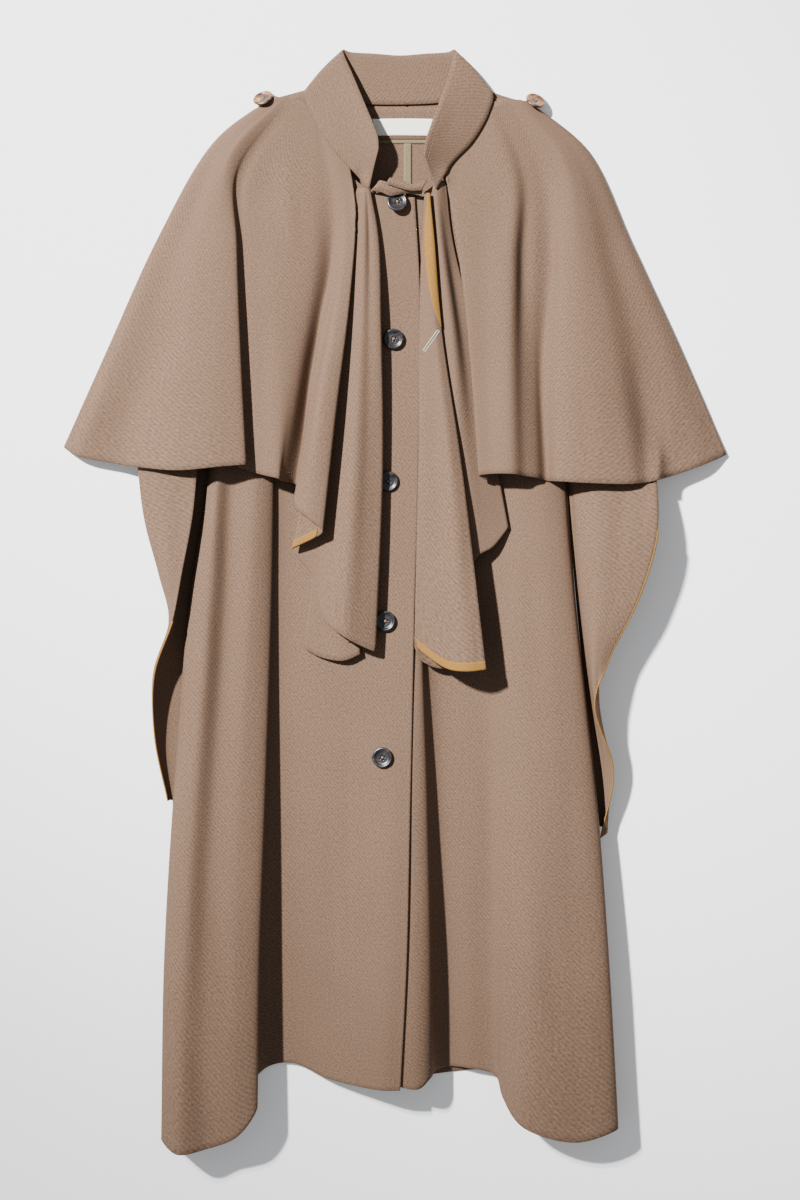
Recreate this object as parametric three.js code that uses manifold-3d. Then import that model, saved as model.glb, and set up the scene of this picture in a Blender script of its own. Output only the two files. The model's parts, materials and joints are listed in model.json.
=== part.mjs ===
// A wool coat with a shoulder cape, laid out on its back on a flat ground.
// Millimetres. +X is to the right, +Y toward the collar, +Z away from the ground.
import * as THREE from 'three';
import { mergeVertices } from 'three/addons/utils/BufferGeometryUtils.js';
import initManifold from 'manifold-3d';

const wasm = await initManifold();
wasm.setup();

// Driving sizes.
const CLOTH = 1.8; // wall of the wool cloth
const BINDING = 1.0; // wall of the narrow bindings and of the label
const GAP = 0.3; // clear space between pieces that lie on or beside each other
const GROUND = CLOTH / 2; // height of the middle of a wall that lies on the ground
const STEPS_ALONG = 2; // wall steps between two stations of a fold line
const STEPS_ACROSS = 2; // wall steps between two neighbouring fold lines
const SETTLED_GAP = 0.7; // clear space under a curled piece, at its lowest point
const CELL = 4; // cell of the height map that one layer is laid on
const BUTTON = { radius: 11.5, rim: 3.6, dish: 2.4, hole: 1.1, spread: 1.9, sides: 24 };

// Colours of the photograph.
const WOOL = 0xa18c78;
const LINING_EDGE = 0xc49a55;
const TAPE = 0xa79c80;
const LABEL = 0xf2efe8;
const HORN = 0x2b2524;

// A fold line is a list of points [x, y, height], one at each station of its table.
// The body's fold lines share these heights up the garment between the neck and the hem.
const LEVELS = [330, 130, 0, -222, -400];
const line = (neck, xs, zs, hem) => [neck, ...xs.map((x, k) => [x, LEVELS[k], zs[k]]), hem];

// Front with the buttonholes, on top: neck or shoulder end, then x and height at each level, then hem end.
const FRONT_RIGHT = {
  sideEdge: line([-147, 535, 5.1], [-188, -200, -218, -238, -248], [5.2, 5, 3.6, 3, 3], [-250, -597, 3]),
  sideRoll: line([-145, 536, 5.5], [-191, -206, -225, -243, -253], [9, 14, 16, 18, 20], [-256, -594, 24]),
  outerCrest: line([-138, 538, 6], [-180, -196, -205, -221, -232], [12, 26, 33, 38, 44],
    [-238, -608, 49]),
  trough: line([-128, 541, 6], [-166, -180, -185, -199, -207], [12, 19, 23, 31, 40], [-206, -602, 45]),
  innerCrest: line([-116, 546, 6], [-148, -152, -158, -168, -173], [12, 23, 27, 35, 43],
    [-172, -588, 48]),
  foldEdge: line([-104, 545, 6], [-134, -134, -136, -143, -149], [10, 15, 17, 27, 35], [-151, -557, 41]),
  tuck: line([-96, 530, 6], [-134, -136, -138, -148, -156], [7, 10, 10.5, 14, 18], [-160, -540, 20]),
  valley: line([-90, 515, 6], [-129, -128, -129, -134, -137], [6, 8, 7.5, 6, 4], [-141, -516, 4]),
  valleyFloor: line([-80, 500, 7], [-112, -117, -116, -115, -113], [6.5, 7, 7, 5.5, 5], [-112, -511, 5]),
  centreSide: line([-62, 484, 9], [-68, -72, -74, -75, -75], [9, 12, 13, 13.5, 14], [-75, -527, 15]),
  centre: line([-38, 458, 12], [-36, -38, -38, -38, -38], [12, 15, 16, 21, 27], [-38, -535, 31]),
  nearEdge: line([-12, 447, 14], [4, 2, 0, -4, -6], [14, 17, 19, 29, 38], [-14, -538, 42]),
  placketEdge: line([22, 443, 15], [28, 26, 22, 17, 13], [15, 18, 20.5, 31, 40], [6, -538, 44]),
};

// Front that carries the buttons; its first two fold lines lie under the other front.
const FRONT_LEFT = {
  underEdge: line([-18, 444, 10], [-22, -22, -22, -24, -24], [10.5, 12, 13, 20, 27], [-24, -532, 31]),
  underPlacket: line([0, 442, 11], [6, 5, 4, 2, 0], [11, 13.5, 15, 25, 34], [-2, -533, 38]),
  crest: line([32, 444, 12], [34, 31, 25, 22, 25], [11, 13, 16.5, 28, 37], [26, -537, 40]),
  crestEdge: line([44, 450, 12], [43, 38, 29, 34.5, 38.5], [10, 12, 15.5, 23.5, 31], [39, -526, 32]),
  drop: line([54, 462, 11], [50, 45, 34, 39.5, 44], [9, 10, 10, 11, 13], [45, -519, 13]),
  valley: line([64, 477, 10], [61, 55, 46, 51, 57], [8, 7, 6, 5.5, 5], [60, -515, 4.5]),
  flat: line([84, 503, 8], [88, 82, 80, 81, 82], [8, 8.5, 9, 9, 9], [84, -517, 9]),
  softDip: line([98, 522, 7], [112, 106, 104, 106, 108], [8, 10, 11, 12, 12], [111, -524, 13]),
  fluteEdge: line([110, 552, 6], [128, 122, 119, 119, 120], [9, 13, 15, 19, 22], [120, -549, 25]),
  crestLeft: line([122, 551, 6], [146, 144, 143, 147, 150], [11, 18, 22, 32, 40], [140, -578, 43]),
  crestRight: line([134, 546, 6], [162, 166, 174, 186, 193], [11, 18, 24, 35, 41], [199, -595, 45]),
  sideRoll: line([146, 541, 5.5], [180, 186, 197, 221, 234], [8, 12, 18, 27, 33], [244, -582, 35]),
  sideEdge: line([149, 539, 5.1], [183, 190, 198, 218, 229], [5.2, 5, 3.6, 3, 3], [238, -578, 3]),
};

// Halves of the back, meeting at the centre-back seam.
const BACK_RIGHT = {
  side: line([-150, 537, 3], [-190, -200, -219, -238, -249], [3, 3, GROUND, GROUND, GROUND],
    [-249, -585, GROUND]),
  middle: line([-82, 566, 3], [-94, -94, -103, -112, -118], [3, 3, GROUND, GROUND, GROUND],
    [-120, -508, GROUND]),
  centreSeam: line([13.4, 546, 3], [13, 12, 10, 8, 6], [3, 3, GROUND, GROUND, GROUND], [4, -528, GROUND]),
};
const BACK_LEFT = {
  centreSeam: line([15.5, 546, 3], [15.1, 14.1, 12.1, 10.1, 8.1], [3, 3, GROUND, GROUND, GROUND],
    [6.1, -528, GROUND]),
  middle: line([96, 562, 3], [104, 102, 108, 114, 119], [3, 3, GROUND, GROUND, GROUND],
    [120, -520, GROUND]),
  side: line([152, 540, 3], [185, 192, 199, 218, 230], [3, 3, GROUND, GROUND, GROUND],
    [238, -566, GROUND]),
};

// Cape pieces: stations at the shoulder, yoke, bust, waist and hem of the cape.
const CAPE_BACK = {
  rightSide: [[-132, 554, GROUND], [-196, 505, GROUND], [-256, 404, GROUND], [-316, 273, GROUND],
    [-362, 168, GROUND]],
  rightHalf: [[-70, 566, GROUND], [-100, 505, GROUND], [-130, 400, GROUND], [-160, 270, GROUND],
    [-180, 150, GROUND]],
  middle: [[4, 546, GROUND], [4, 490, GROUND], [4, 400, GROUND], [4, 270, GROUND], [4, 145, GROUND]],
  leftHalf: [[80, 564, GROUND], [110, 500, GROUND], [135, 395, GROUND], [162, 265, GROUND],
    [180, 145, GROUND]],
  leftSide: [[145, 549, GROUND], [211, 495, GROUND], [260, 390, GROUND], [314, 274, GROUND],
    [362, 160, GROUND]],
};
const CAPE_RIGHT = {
  sideEdge: [[-134, 555, 3], [-198, 506, 3], [-258, 405, 3], [-318, 273, 3], [-365, 168, 3]],
  bump: [[-131, 555, 7], [-195, 505, 7], [-252, 404, 8], [-307, 272, 11], [-350, 159, 14]],
  outerDip: [[-128, 554, 8], [-188, 502, 11], [-232, 402, 14], [-277, 270, 16], [-306, 150, 18]],
  mainCrest: [[-124, 554, 8], [-184, 494, 15], [-212, 397, 25], [-226, 268, 34], [-240, 142, 44]],
  crestInner: [[-121, 554, 8], [-181, 487, 18], [-190, 393, 29], [-190, 265, 39], [-190, 146, 48]],
  foldEdge: [[-118, 553, 8], [-175, 476, 16], [-174, 389, 27], [-169, 262, 36], [-163, 148, 44]],
  tuck: [[-115, 552, 8], [-172, 472, 13], [-175, 389, 20], [-175, 262, 27], [-172, 146, 34]],
  turn: [[-109, 551, 8], [-166, 469, 12], [-168, 388, 18], [-165, 260, 23], [-163, 143, 29]],
  innerStart: [[-103, 550, 8], [-160, 462, 14], [-157, 387, 20], [-151, 258, 25], [-148, 138, 31]],
  innerCrest: [[-93, 545, 8.5], [-130, 455, 16], [-127, 380, 23], [-124, 254, 29], [-128, 133, 36]],
  rollOff: [[-89, 535, 9.5], [-90, 450, 16.5], [-88, 372, 22], [-106, 252, 24], [-125, 131, 31]],
  dip: [[-84, 524, 10.5], [-69, 445, 14], [-71, 361, 12.5], [-91, 250, 8.5], [-108, 126, 14]],
  rise: [[-76, 512, 12], [-60, 441, 17], [-65, 352, 20], [-87, 238, 24], [-110, 103, 33]],
  cascadeCrest: [[-65, 495, 14], [-53, 437, 19], [-60, 341, 28], [-81, 216, 44], [-97, 91, 45]],
  cascadeEdge: [[-49, 475, 15.5], [-43, 431, 19.5], [-49, 336, 29], [-64.5, 206, 42], [-79, 75, 46]],
  underEdge: [[-56, 480, 14.5], [-48, 430, 17], [-55, 336, 25], [-72, 203, 36], [-85, 69, 39]],
  underEnd: [[-64, 484, 13.5], [-58, 430, 15.5], [-66, 336, 22], [-84, 200, 31], [-112, 56, 31]],
};
const CAPE_LEFT = {
  sideEdge: [[148, 549, 3], [212, 497, 3], [262, 392, 3], [316, 275, 3], [366, 160, 3]],
  bump: [[145, 550, 7], [207, 496, 7], [255, 391, 8], [302, 272, 11], [338, 148, 15]],
  outerDip: [[142, 550, 8], [200, 492, 11], [236, 388, 15], [267, 268, 19], [287, 131, 24]],
  crestOuter: [[139, 551, 8], [193, 488, 15], [218, 385, 25], [240, 265, 34], [261, 127, 43]],
  crestInner: [[135, 551, 8], [186, 482, 18], [200, 382, 29], [206, 262, 39], [211, 128, 47]],
  creaseEdge: [[131, 552, 8], [178, 475, 16], [184, 380, 25], [181, 260, 33], [179, 130, 40]],
  crevice: [[127, 552, 8], [163, 470, 11.5], [173, 378, 13.5], [163, 258, 16], [168, 131, 19.5]],
  slope: [[119, 552, 8], [151, 468, 12], [153, 376, 16.5], [153, 256, 21.5], [156, 134, 29.5]],
  step: [[111, 549, 8], [142, 466, 13.5], [141, 375, 17.5], [140, 255, 28], [142, 136, 36]],
  frontCrest: [[103, 545, 8.5], [130, 464, 19.5], [129, 374, 29], [127, 254, 38], [129, 138, 44]],
  frontDip: [[84, 511, 11], [98, 456, 18], [100, 368, 25], [102, 252, 31], [105, 138, 38]],
  frontEdge: [[56, 470, 14], [62, 438, 17], [76, 342, 23], [85, 250, 29], [93, 136, 35]],
  underEdge: [[59, 469, 12], [66, 438, 14.5], [82, 342, 18], [93, 250, 23], [103, 131, 29]],
};

// Ruffled bands on the front edges of the cape: stations from the throat to the hem of the band.
const CASCADE_RIGHT = {
  backEdge: [[-41, 453, 17], [-52, 400, 16.5], [-74, 300, 17], [-97, 150, 19], [-111, 52, 21]],
  backDip: [[-38, 453, 18], [-45, 400, 16], [-58, 300, 20], [-77, 150, 23], [-91, 27, 24]],
  ruffleLeft: [[-35, 453, 19], [-39, 400, 20.5], [-46, 300, 24], [-59, 150, 30], [-77, -22, 31]],
  ruffleCrest: [[-33, 453, 20], [-33, 400, 22.5], [-36, 300, 30], [-44, 150, 38], [-56, -40, 42]],
  softTrough: [[-31, 453, 20], [-28, 400, 20], [-28, 300, 28], [-30, 150, 33], [-38, -50, 38]],
  rightCrest: [[-29, 452, 20], [-23, 400, 21.5], [-20, 300, 28.5], [-19, 150, 30.5], [-27, -55, 35]],
  rightEdge: [[-27, 451, 19], [-18, 400, 20], [-15, 300, 27], [-13, 150, 29], [-21, -57, 33]],
  underTurn: [[-28, 450, 18], [-20, 400, 17], [-18, 300, 22], [-17, 150, 24], [-24, -53, 28]],
  underEnd: [[-33, 450, 17], [-33, 400, 15.5], [-34, 300, 17], [-38, 150, 18.5], [-52, -46, 21.5]],
};
const CASCADE_RIGHT_TAIL = {
  left: [[-91, 24, 16], [-93, -2, 15.5], [-97, -30, 15], [-99, -54, 14.5]],
  fold: [[-80, 20, 20], [-81, -8, 19.5], [-82, -36, 18.5], [-82, -63, 18]],
  crest: [[-64, 14, 22], [-62, -14, 23], [-60, -42, 24.5], [-56, -67, 25]],
  right: [[-50, 2, 21.5], [-45, -18, 23], [-41, -40, 25], [-38, -60, 26]],
};
const CASCADE_LEFT = {
  outerFold: [[56, 462, 13], [63, 400, 12], [86, 300, 12], [112, 150, 17], [125, 79, 20]],
  outerMiddle: [[50, 460, 17], [57, 400, 15.5], [73, 300, 15], [93, 150, 22], [108, 58, 25]],
  outerLeft: [[45, 457, 17.5], [50, 400, 21], [63, 300, 24.5], [76, 150, 27], [89, 45, 29]],
  underMiddle: [[41, 454, 16], [42, 400, 16], [45, 300, 17], [52, 150, 18], [60, -74, 20]],
  underLeft: [[37, 451, 16], [35, 400, 17], [34, 300, 18], [34, 150, 19], [31, -68, 20]],
  turn: [[34, 449, 18], [31, 400, 18.5], [28, 300, 20], [27, 150, 22], [22, -50, 23]],
  faceLeft: [[34, 448, 20.5], [33, 400, 20.5], [33, 300, 22.5], [33, 150, 25], [31, -58, 27]],
  faceMiddle: [[36, 447, 21], [37, 400, 23], [40, 300, 26], [49, 150, 30], [58, -76, 40]],
  faceCrest: [[37, 447, 21.5], [40, 400, 24], [45, 300, 27.5], [60, 150, 38], [80, -79, 51]],
  freeEdge: [[38, 447, 21], [43, 400, 23.5], [51, 300, 25.5], [73, 150, 34], [100, -77, 51]],
};

// Side wings: stations from under the cape hem, past the twist, to the end of the lobe.
const SIDE_RIGHT = {
  seamEdge: [[-202.6, 160, 6.2], [-208.8, 90, 5.4], [-216.8, 30, 4.6], [-223.2, -22, 4.2],
    [-229.4, -80, 4], [-235.2, -150, 4], [-240.8, -221, 4]],
  lower: [[-240, 160, 6.8], [-238, 90, 6.5], [-236, 30, 7], [-238, -23, 8], [-250, -80, 6.5],
    [-251, -150, 5], [-246, -221, 4.5]],
  fold: [[-284, 160, 14], [-275, 88, 18], [-259, 28, 22], [-247, -24, 24], [-262, -80, 14],
    [-260, -148, 8.5], [-249, -221, 6]],
  top: [[-262, 160, 26], [-254, 90, 31], [-250, 32, 35], [-247, -24, 33], [-265, -81, 22],
    [-263, -149, 13.5], [-250, -222, 8]],
  freeEdge: [[-216, 160, 30], [-222, 92, 36], [-233, 32, 39], [-244, -24, 39], [-264, -82, 30],
    [-264, -150, 19], [-250, -222, 10]],
};
const SIDE_LEFT = {
  seamEdge: [[191, 160, 5.6], [195.4, 70, 5.2], [200.6, 5, 4.8], [206.6, -60, 4.4],
    [211.6, -110, 4.2], [217.6, -180, 4], [222.8, -250, 4]],
  crevice: [[193, 160, 9], [198, 70, 8], [203, 5, 8], [210, -60, 8], [216, -110, 8],
    [224, -180, 6], [228, -250, 5.5]],
  inner: [[196, 160, 17], [203, 70, 22], [207, 5, 24], [212, -60, 24], [219, -111, 24],
    [229, -180, 12], [231, -252, 8]],
  crest: [[215, 160, 28], [222, 72, 37], [222, 5, 39], [218, -62, 41], [221, -112, 40],
    [233, -182, 20], [233, -254, 11]],
  outer: [[256, 160, 26], [256, 74, 41], [245, 5, 42], [226, -64, 42], [224, -113, 41],
    [236, -184, 24], [234, -257, 13]],
  freeEdge: [[286, 160, 22], [288, 76, 43], [268, 4, 43], [234, -66, 40], [220, -115, 46],
    [240, -188, 26], [228, -262, 15]],
};

// Standing collar, round the neck from its right front end to its left one: seam, middle and top edge.
const COLLAR = {
  rightEnd: [[-28, 452, 18], [-23, 474, 25], [-17.5, 495, 31]],
  rightLow: [[-42, 468, 16.5], [-32, 489, 24], [-18.5, 508, 31]],
  rightFront: [[-68, 497, 15], [-53, 523, 20], [-34, 548, 24]],
  rightUpper: [[-89, 530, 13], [-70, 555, 16], [-46, 577, 18]],
  rightTurn: [[-99, 561, 10.5], [-80, 584, 11], [-57, 606, 10]],
  rightBack: [[-84, 558, 6.6], [-68, 580, 6.6], [-50, 604, 6.6]],
  back: [[-40, 548, 6.2], [-30, 576, 6.2], [-22, 602, 6.2]],
  middleBack: [[8, 546.5, 6.2], [7, 574, 6.2], [6, 600, 6.2]],
  leftBack: [[56, 549, 6.2], [45, 576, 6.2], [34, 602, 6.2]],
  leftCorner: [[94, 556, 6.6], [76, 580, 6.6], [60, 604, 6.6]],
  leftTurn: [[108, 558, 10.5], [88, 584, 11], [66, 606, 10]],
  leftUpper: [[103, 535, 13], [82, 555, 16], [58, 572, 18]],
  leftFront: [[85, 504, 15], [67, 524, 20], [49, 545, 24]],
  leftLow: [[63, 480, 16.5], [48, 493, 24], [34.5, 504, 31]],
  leftEnd: [[46, 452, 18], [38.5, 470, 25], [32.5, 489, 31]],
};

// Small pieces at the neck.
const NECK_TAB = {
  right: [[-25.5, 450.5, 21.5], [-23, 453, 23], [-19, 456.5, 22.5]],
  crease: [[-14, 448.4, 22.5], [-15, 454, 25], [-16.5, 460.5, 24.5]],
  middle: [[-5, 444.6, 22.5], [-5, 451, 25.5], [-6.5, 458.5, 25]],
  left: [[12, 447.4, 22.5], [12, 450.6, 25], [12, 454.5, 24.5]],
  end: [[29.5, 446.4, 21.5], [30, 449, 23], [30.5, 452.4, 22.5]],
};
const NECK_BAND = {
  right: [[-7.4, 457, 30], [-7, 460.2, 31.5], [-5, 463.5, 30.5]],
  middle: [[6, 452.6, 30], [6.5, 456, 31.5], [7.5, 460.4, 30.5]],
  left: [[18, 449.8, 30], [19, 452.8, 31.5], [20.5, 456.2, 30.5]],
  end: [[29.5, 450, 30], [32, 455, 31], [35.5, 461, 29.5]],
};
const BACK_FACING = {
  right: [[-60, 543, 5.1], [-52, 525, 5.1], [-38, 508, 5.1]],
  middle: [[8, 543, 5.1], [8, 525, 5.1], [8, 508, 5.1]],
  left: [[76, 543, 5.1], [68, 525, 5.1], [52, 508, 5.1]],
};
const FACING_BINDING = {
  right: [[-40, 507.2, 4.8], [-40, 503.6, 4.8]],
  middle: [[8, 507.2, 4.8], [8, 503.6, 4.8]],
  left: [[54, 507.2, 4.8], [54, 503.6, 4.8]],
};
const SEAM_BINDING = {
  right: [[10.4, 503, 4.8], [10.4, 480, 4.8], [10.4, 456, 4.8]],
  left: [[18.4, 503, 4.8], [18.4, 480, 4.8], [18.4, 456, 4.8]],
};
const NECK_LABEL = {
  right: [[-25, 530, 6.8], [-25, 512, 6.8]],
  middle: [[8, 530.4, 6.8], [8, 512.4, 6.8]],
  left: [[42, 530, 6.8], [42, 512, 6.8]],
};

// Bindings that cover a free edge: width of the band on the face.
const EDGE_BAND = 9;
const EDGE_LINE = 1.6;

// Middles of the buttons, on the front and on the shoulders of the cape.
const FRONT_BUTTONS = {
  button_neck: { x: 3, y: 437.5 },
  button_2: { x: -1, y: 287 },
  button_3: { x: -7, y: 130 },
  button_4: { x: -10, y: -24 },
  button_5: { x: -13, y: -174 },
};
const SHOULDER_BUTTONS = {
  button_shoulder_right: { x: -144.7, y: 552, slope: [0.45, -1.1] },
  button_shoulder_left: { x: 155.1, y: 549, slope: [-0.5, -1.1] },
};

const vector = (p) => new THREE.Vector3(p[0], p[1], p[2]);
const smooth = (points) => new THREE.CatmullRomCurve3(points.map(vector), false, 'centripetal');

// Points of a cloth's middle surface: fold lines are rows, and steps between them are added.
function surface(table, along = STEPS_ALONG, across = STEPS_ACROSS) {
  const lines = Object.values(table).map((points) => {
    const curve = smooth(points);
    const count = (points.length - 1) * along;
    return Array.from({ length: count + 1 }, (_, k) => curve.getPoint(k / count));
  });
  const rows = (lines.length - 1) * across;
  const grid = Array.from({ length: rows + 1 }, () => []);
  for (let k = 0; k < lines[0].length; k += 1) {
    const section = new THREE.CatmullRomCurve3(lines.map((l) => l[k]), false, 'centripetal');
    grid.forEach((row, r) => row.push(section.getPoint(r / rows)));
  }
  return grid;
}

// Direction of the cloth's face at each point of a grid.
function faces(grid) {
  const within = (index, count) => Math.min(Math.max(index, 0), count - 1);
  const at = (r, k) => grid[within(r, grid.length)][within(k, grid[0].length)];
  return grid.map((row, r) => row.map((_, k) => {
    const acrossIt = at(r + 1, k).clone().sub(at(r - 1, k));
    const alongIt = at(r, k + 1).clone().sub(at(r, k - 1));
    return acrossIt.cross(alongIt).normalize();
  }));
}

// Closed wall of even thickness round a grid of middle points.
function wall(grid, thickness = CLOTH) {
  const normals = faces(grid);
  const rows = grid.length;
  const columns = grid[0].length;
  const position = [];
  for (const side of [0.5, -0.5]) {
    grid.forEach((row, r) => row.forEach((p, k) => {
      position.push(...p.clone().addScaledVector(normals[r][k], side * thickness).toArray());
    }));
  }
  const id = (r, k, side) => side * rows * columns + r * columns + k;
  const index = [];
  const quad = (a, b, c, d) => index.push(a, b, c, a, c, d);
  for (let r = 0; r < rows - 1; r += 1) {
    for (let k = 0; k < columns - 1; k += 1) {
      quad(id(r, k, 0), id(r + 1, k, 0), id(r + 1, k + 1, 0), id(r, k + 1, 0));
      quad(id(r, k, 1), id(r, k + 1, 1), id(r + 1, k + 1, 1), id(r + 1, k, 1));
    }
    quad(id(r, 0, 0), id(r, 0, 1), id(r + 1, 0, 1), id(r + 1, 0, 0));
    const last = columns - 1;
    quad(id(r, last, 0), id(r + 1, last, 0), id(r + 1, last, 1), id(r, last, 1));
  }
  for (let k = 0; k < columns - 1; k += 1) {
    quad(id(0, k, 0), id(0, k + 1, 0), id(0, k + 1, 1), id(0, k, 1));
    const last = rows - 1;
    quad(id(last, k, 0), id(last, k, 1), id(last, k + 1, 1), id(last, k + 1, 0));
  }
  const geometry = new THREE.BufferGeometry();
  geometry.setAttribute('position', new THREE.Float32BufferAttribute(position, 3));
  geometry.setIndex(index);
  return geometry;
}

// Height map of what has been laid so far.
const heights = new Map();
const key = (i, j) => i * 4096 + j;
function raise(i, j, z) {
  heights.set(key(i, j), Math.max(heights.get(key(i, j)) ?? 0, z));
}
function addToHeights(geometry) {
  const p = geometry.getAttribute('position');
  const index = geometry.getIndex();
  const count = index ? index.count : p.count;
  const corner = (n) => new THREE.Vector3().fromBufferAttribute(p, index ? index.getX(n) : n);
  for (let n = 0; n < count; n += 3) {
    const [a, b, c] = [corner(n), corner(n + 1), corner(n + 2)];
    const reach = Math.max(a.distanceTo(b), b.distanceTo(c), c.distanceTo(a));
    const steps = Math.ceil((reach / CELL) * 2);
    for (let u = 0; u <= steps; u += 1) {
      for (let v = 0; v <= steps - u; v += 1) {
        const q = a.clone().addScaledVector(b.clone().sub(a), u / steps);
        q.addScaledVector(c.clone().sub(a), v / steps);
        raise(Math.round(q.x / CELL), Math.round(q.y / CELL), q.z);
      }
    }
  }
}
function heightNear(x, y, reach = 1) {
  const [i, j] = [Math.round(x / CELL), Math.round(y / CELL)];
  let z = 0;
  for (let a = -reach; a <= reach; a += 1) {
    for (let b = -reach; b <= reach; b += 1) z = Math.max(z, heights.get(key(i + a, j + b)) ?? 0);
  }
  return z;
}

// Raises the points of a grid until its wall clears everything under it.
function lay(grid, thickness = CLOTH) {
  const clear = thickness * 0.55 + GAP;
  const samples = [0, 0.25, 0.5, 0.75, 1];
  for (let pass = 0; pass < 4; pass += 1) {
    const lift = grid.map((row) => row.map(() => 0));
    for (let r = 0; r < grid.length - 1; r += 1) {
      for (let k = 0; k < grid[0].length - 1; k += 1) {
        const corners = [[r, k], [r + 1, k], [r, k + 1], [r + 1, k + 1]];
        for (const u of samples) {
          for (const v of samples) {
            const weights = [(1 - u) * (1 - v), u * (1 - v), (1 - u) * v, u * v];
            const q = new THREE.Vector3();
            corners.forEach(([a, b], n) => q.addScaledVector(grid[a][b], weights[n]));
            const need = heightNear(q.x, q.y) + clear - q.z;
            if (need > 0) {
              corners.forEach(([a, b], n) => {
                if (weights[n] > 0.2) lift[a][b] = Math.max(lift[a][b], need);
              });
            }
          }
        }
      }
    }
    grid.forEach((row, r) => row.forEach((p, k) => p.setZ(p.z + lift[r][k])));
  }
  return grid;
}

const coat = new THREE.Group();
coat.name = 'cape_coat';
function add(name, geometry, color, roughness = 0.9, place = new THREE.Matrix4()) {
  const mesh = new THREE.Mesh(geometry, new THREE.MeshStandardMaterial({ color, roughness, metalness: 0 }));
  mesh.name = name;
  mesh.applyMatrix4(place);
  mesh.updateMatrixWorld(true);
  coat.add(mesh);
  addToHeights(geometry.clone().applyMatrix4(place));
}

// The same direction, or its opposite where it points at the ground.
const upward = (normal) => normal.clone().multiplyScalar(normal.z < 0 ? -1 : 1);

// Strip of the face beside a hem: rows first to last of a panel, this wide up from its lower edge.
function hemBand(name, first, last, width) {
  const grid = grids[name];
  const normals = faces(grid);
  const columns = grid[0].length;
  return [width, 0].map((distance) => grid.slice(first, last + 1).map((row, n) => {
    const hem = row[columns - 1];
    const up = row[columns - 2].clone().sub(hem).normalize();
    const out = upward(normals[first + n][columns - 1]);
    return hem.clone().addScaledVector(up, distance).addScaledVector(out, CLOTH / 2 + GAP + BINDING / 2);
  }));
}

// Narrow binding along the last fold line of a panel, just outside its free edge.
function edgeBand(name, first, last) {
  const grid = grids[name];
  const end = grid.length - 1;
  return [2 * GAP, 2 * GAP + EDGE_LINE].map((distance) => grid[end].slice(first, last + 1).map((p, n) => {
    const out = p.clone().sub(grid[end - 1][first + n]).normalize();
    return p.clone().addScaledVector(out, distance);
  }));
}
function band(name, grid, thickness = BINDING) {
  add(name, wall(grid, thickness), LINING_EDGE, 0.8);
}

// Solid of a closed geometry, for cutting.
function solidOf(geometry) {
  geometry.deleteAttribute('normal');
  geometry.deleteAttribute('uv');
  const merged = mergeVertices(geometry, 1e-3);
  return new wasm.Manifold(new wasm.Mesh({
    numProp: 3,
    vertProperties: new Float32Array(merged.getAttribute('position').array),
    triVerts: new Uint32Array(merged.getIndex().array),
  }));
}

// Round button with a raised rim and four thread holes; its flat back is at height 0.
function buttonShape() {
  const { radius, rim, dish, hole, spread, sides } = BUTTON;
  const profile = [
    [0, 0], [radius - 2.4, 0], [radius - 0.5, 0.9], [radius, 1.9], [radius - 0.4, rim - 0.4],
    [radius - 1.4, rim], [radius - 2.8, rim - 0.5], [radius - 4, dish], [0, dish],
  ];
  const lathe = new THREE.LatheGeometry(profile.map(([x, y]) => new THREE.Vector2(x, y)), sides);
  let body = solidOf(lathe.rotateX(Math.PI / 2));
  for (let turn = 0; turn < 4; turn += 1) {
    const angle = (turn + 0.5) * (Math.PI / 2);
    const drill = new THREE.CylinderGeometry(hole, hole, rim * 3, 8).rotateX(Math.PI / 2);
    drill.translate(spread * Math.cos(angle), spread * Math.sin(angle), 0);
    body = body.subtract(solidOf(drill));
  }
  const mesh = body.getMesh();
  const geometry = new THREE.BufferGeometry();
  geometry.setAttribute('position', new THREE.Float32BufferAttribute(mesh.vertProperties, 3));
  geometry.setIndex(Array.from(mesh.triVerts));
  return geometry;
}

// Height of what lies under a point, found with a ray from above; undefined where there is nothing.
const ray = new THREE.Raycaster();
const DOWN = new THREE.Vector3(0, 0, -1);
function heightUnder(x, y, pieces = coat.children, from = 200) {
  ray.set(new THREE.Vector3(x, y, from), DOWN);
  return ray.intersectObjects(pieces)[0]?.point.z;
}

// Place of a button on the cloth: just clear of it, on a plane that fits the cloth or has a given slope.
function seatOnCloth({ x, y, slope }) {
  const spots = [];
  for (let radius = 0; radius <= BUTTON.radius; radius += BUTTON.radius / 5) {
    for (let turn = 0; turn < 16; turn += 1) {
      const angle = (turn * Math.PI) / 8;
      const [dx, dy] = [radius * Math.cos(angle), radius * Math.sin(angle)];
      const z = heightUnder(x + dx, y + dy);
      if (z !== undefined) spots.push([dx, dy, z]);
    }
  }
  const mean = (f) => spots.reduce((sum, spot) => sum + f(...spot), 0) / spots.length;
  const [midX, midY, height] = [mean((dx) => dx), mean((dx, dy) => dy), mean((dx, dy, z) => z)];
  const [slopeX, slopeY] = slope ?? [
    mean((dx, dy, z) => (dx - midX) * (z - height)) / mean((dx) => (dx - midX) ** 2),
    mean((dx, dy, z) => (dy - midY) * (z - height)) / mean((dx, dy) => (dy - midY) ** 2),
  ];
  const base = Math.max(...spots.map(([dx, dy, z]) => z - slopeX * dx - slopeY * dy));
  const up = new THREE.Vector3(-slopeX, -slopeY, 1);
  const axis = up.clone().normalize();
  const turn = new THREE.Quaternion().setFromUnitVectors(new THREE.Vector3(0, 0, 1), axis);
  const room = slope ? 2 * GAP : GAP;
  const place = new THREE.Vector3(x, y, base + room * up.length());
  return new THREE.Matrix4().compose(place, turn, new THREE.Vector3(1, 1, 1));
}

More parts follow.
